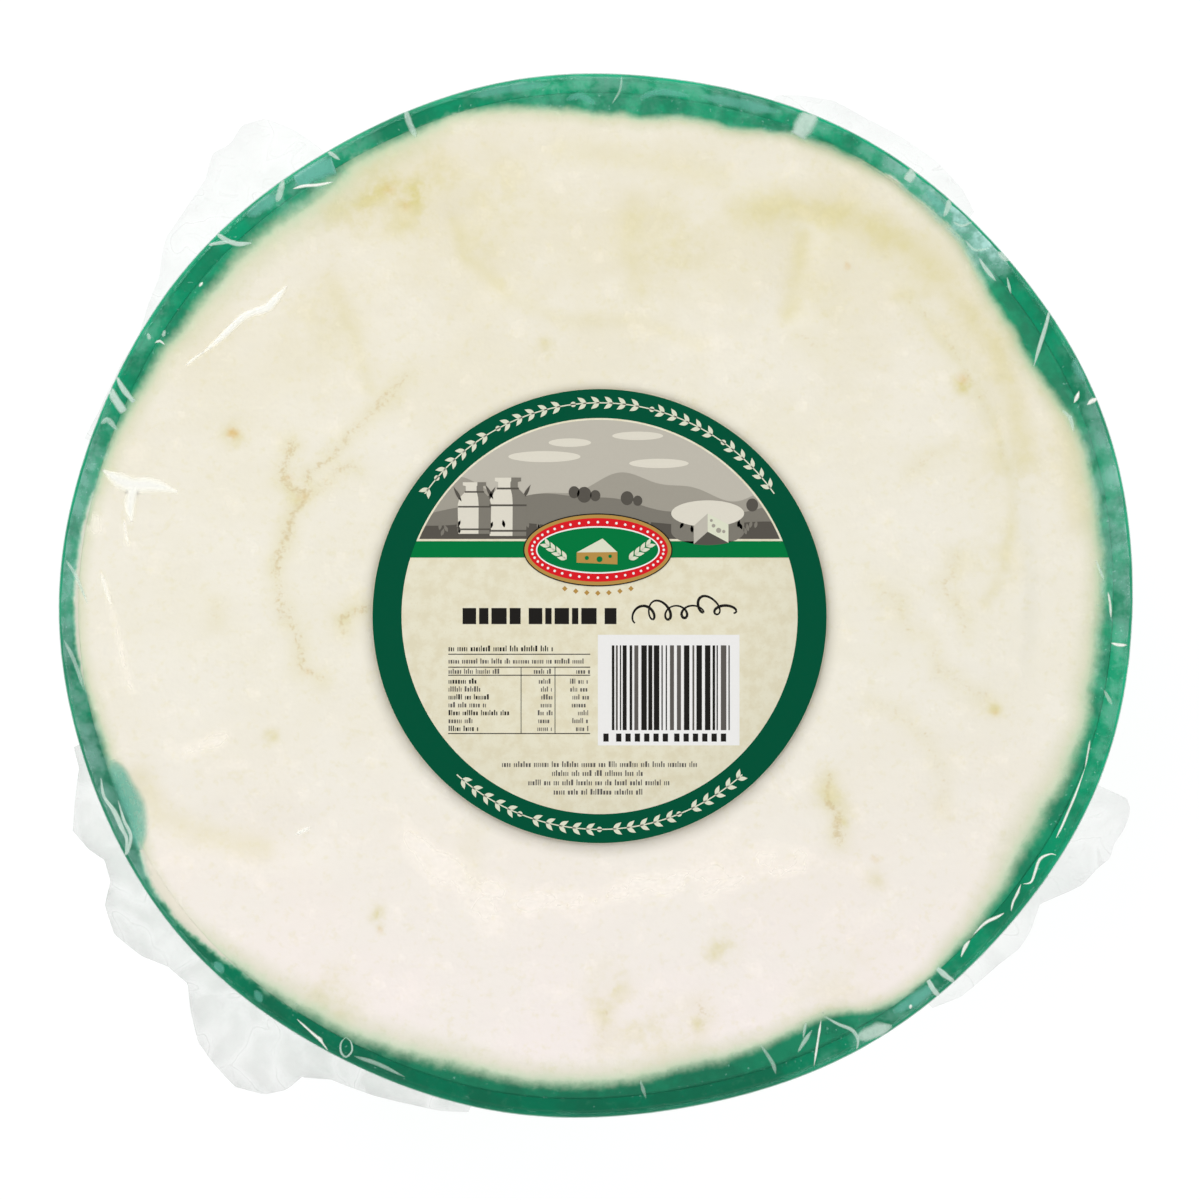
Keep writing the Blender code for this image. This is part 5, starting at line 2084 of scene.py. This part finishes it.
    def add_small_print(self) -> None:
        """Prints four centred lines of fine strokes under the table."""
        for y, width in ((-35.6, 46.0), (-37.7, 22.4), (-39.9, 33.6), (-42.1, 21.6)):
            self.words((-width / 2, y), width, 1.35)

    def build(self) -> list[Object]:
        """Builds the paper and all its print."""
        paper = self.paper()
        self.add_units()
        self.add_border()
        self.add_picture()
        self.add_seal()
        self.add_title()
        self.add_table()
        self.add_bar_code()
        self.add_small_print()
        return [paper] + self.print.finish()


@dataclass
class Studio:
    """A pale floor under soft light, and a camera straight above the pack.

    Attributes:
        target: Place on the rim's plane that the picture is centred on.
        rim: Height of that plane.
        distance: How far above it the camera is.
        reach: How far off the softboxes are.
        floor_size: Width of the floor, with floor_height for where it lies.
        sensor: Width of the camera's sensor in millimetres.
        lights: The softboxes, as (direction, height in degrees, power).
        box_size: Width of a softbox.
        white: Colour in which the floor glows, with glow for how much and matt for what it reflects.
        zenith: Strength of the room's light from overhead, with horizon for that from the sides.
        room: Colour of the room's light.
    """

    target: Point
    rim: float
    distance: float = 1.8
    reach: float = 1.3
    floor_size: float = 12.0
    floor_height: float = -0.25 * MM
    sensor: float = 36.0
    lights: tuple = ((115, 42, 6.6), (25, 40, 4.4), (205, 38, 4.6), (295, 40, 3.4))
    box_size: float = 0.9
    white: Colour = (1.0, 1.0, 1.0)
    matt: Colour = (0.18, 0.18, 0.18)
    glow: float = 0.89
    zenith: float = 0.07
    horizon: float = 0.55
    room: Colour = (1.0, 0.995, 0.985)

    def floor(self) -> None:
        """Lays a white floor that glows a little, so that shadows on it stay faint."""
        deselect()
        bpy.ops.mesh.primitive_plane_add(size=self.floor_size, location=(0, 0, self.floor_height))
        floor = named("studio_floor")
        shader, made, skin = Shader.material("studio_floor")
        grain = shader.noise(shader.places(), 4 * MM, 2.0)
        shader.put(skin.inputs["Roughness"], shader.vary(grain, 0.88, 0.92))
        skin.inputs["Base Color"].default_value = (*self.matt, 1.0)
        skin.inputs["Specular IOR Level"].default_value = 0.0
        skin.inputs["Emission Color"].default_value = (*self.white, 1.0)
        skin.inputs["Emission Strength"].default_value = self.glow
        floor.data.materials.append(made)

    def sky(self) -> None:
        """Lights the room softly from its sides and keeps it dim overhead, where film would mirror it."""
        world = bpy.data.worlds.new("studio_room")
        bpy.context.scene.world = world
        world.use_nodes = True
        shader = Shader(world.node_tree)
        up = shader.node("SeparateXYZ", {0: shader.node("TexCoord").outputs["Generated"]}).outputs["Z"]
        level = shader.span(up, 0.45, 0.95, self.horizon, self.zenith)
        shader.put(world.node_tree.nodes["Background"].inputs["Strength"], level)
        world.node_tree.nodes["Background"].inputs["Color"].default_value = (*self.room, 1.0)

    def softboxes(self) -> None:
        """Hangs a ring of softboxes, the strongest over the top left."""
        for azimuth, elevation, power in self.lights:
            turn, rise = math.radians(azimuth), math.radians(elevation)
            flat = math.cos(rise)
            away = Vector((math.cos(turn) * flat, math.sin(turn) * flat, math.sin(rise)))
            bpy.ops.object.light_add(type="AREA", location=away * self.reach)
            lamp = named(f"softbox_{azimuth}")
            lamp.rotation_euler = away.to_track_quat("Z", "Y").to_euler()
            lamp.data.shape = "SQUARE"
            lamp.data.size = self.box_size
            lamp.data.energy = power

    def camera(self) -> None:
        """Hangs the camera straight above, so that the photograph's square fills the picture."""
        bpy.ops.object.camera_add(location=(*self.target, self.rim + self.distance), rotation=(0, 0, 0))
        camera = named("camera")
        camera.data.sensor_width = self.sensor
        camera.data.lens = self.sensor * self.distance / (PHOTO_SIDE * PHOTO_PIXEL)
        camera.data.clip_end = 20.0
        bpy.context.scene.camera = camera

    def build(self) -> None:
        """Sets up the floor, the light, the camera and plain colours."""
        self.floor()
        self.sky()
        self.softboxes()
        self.camera()
        view = bpy.context.scene.view_settings
        view.view_transform = "Standard"
        view.look = "None"
        bpy.context.scene.cycles.max_bounces = 6
        bpy.context.scene.cycles.diffuse_bounces = 2


def main() -> None:
    """Builds the studio and each part of the pack, and logs how many points each has."""
    logging.basicConfig(level=logging.INFO, format="%(name)s: %(message)s")
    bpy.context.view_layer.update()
    form = PackForm.from_frame()
    curd = RicottaWheel(form)
    label = Label()
    Studio(from_photo(PHOTO_SIDE / 2, PHOTO_SIDE / 2), form.height).build()
    log.info("studio ready, rim %.1f mm across", 2 * form.mean_rim / MM)
    wheel = curd.build()
    log.info("curd wheel: %d points", len(wheel.data.vertices))
    tub = Tub(form, curd).build()
    log.info("tub: %d points", len(tub.data.vertices))
    bag = VacuumBag(form, curd).build()
    log.info("bag: %d points", len(bag.data.vertices))
    folds = FilmFolds(form, bag).build()
    log.info("folds: %d pieces, %d marks", len(folds), len(FOLDS))
    log.info("label: %d pieces", len(label.build()))


if __name__ == "__main__":
    main()
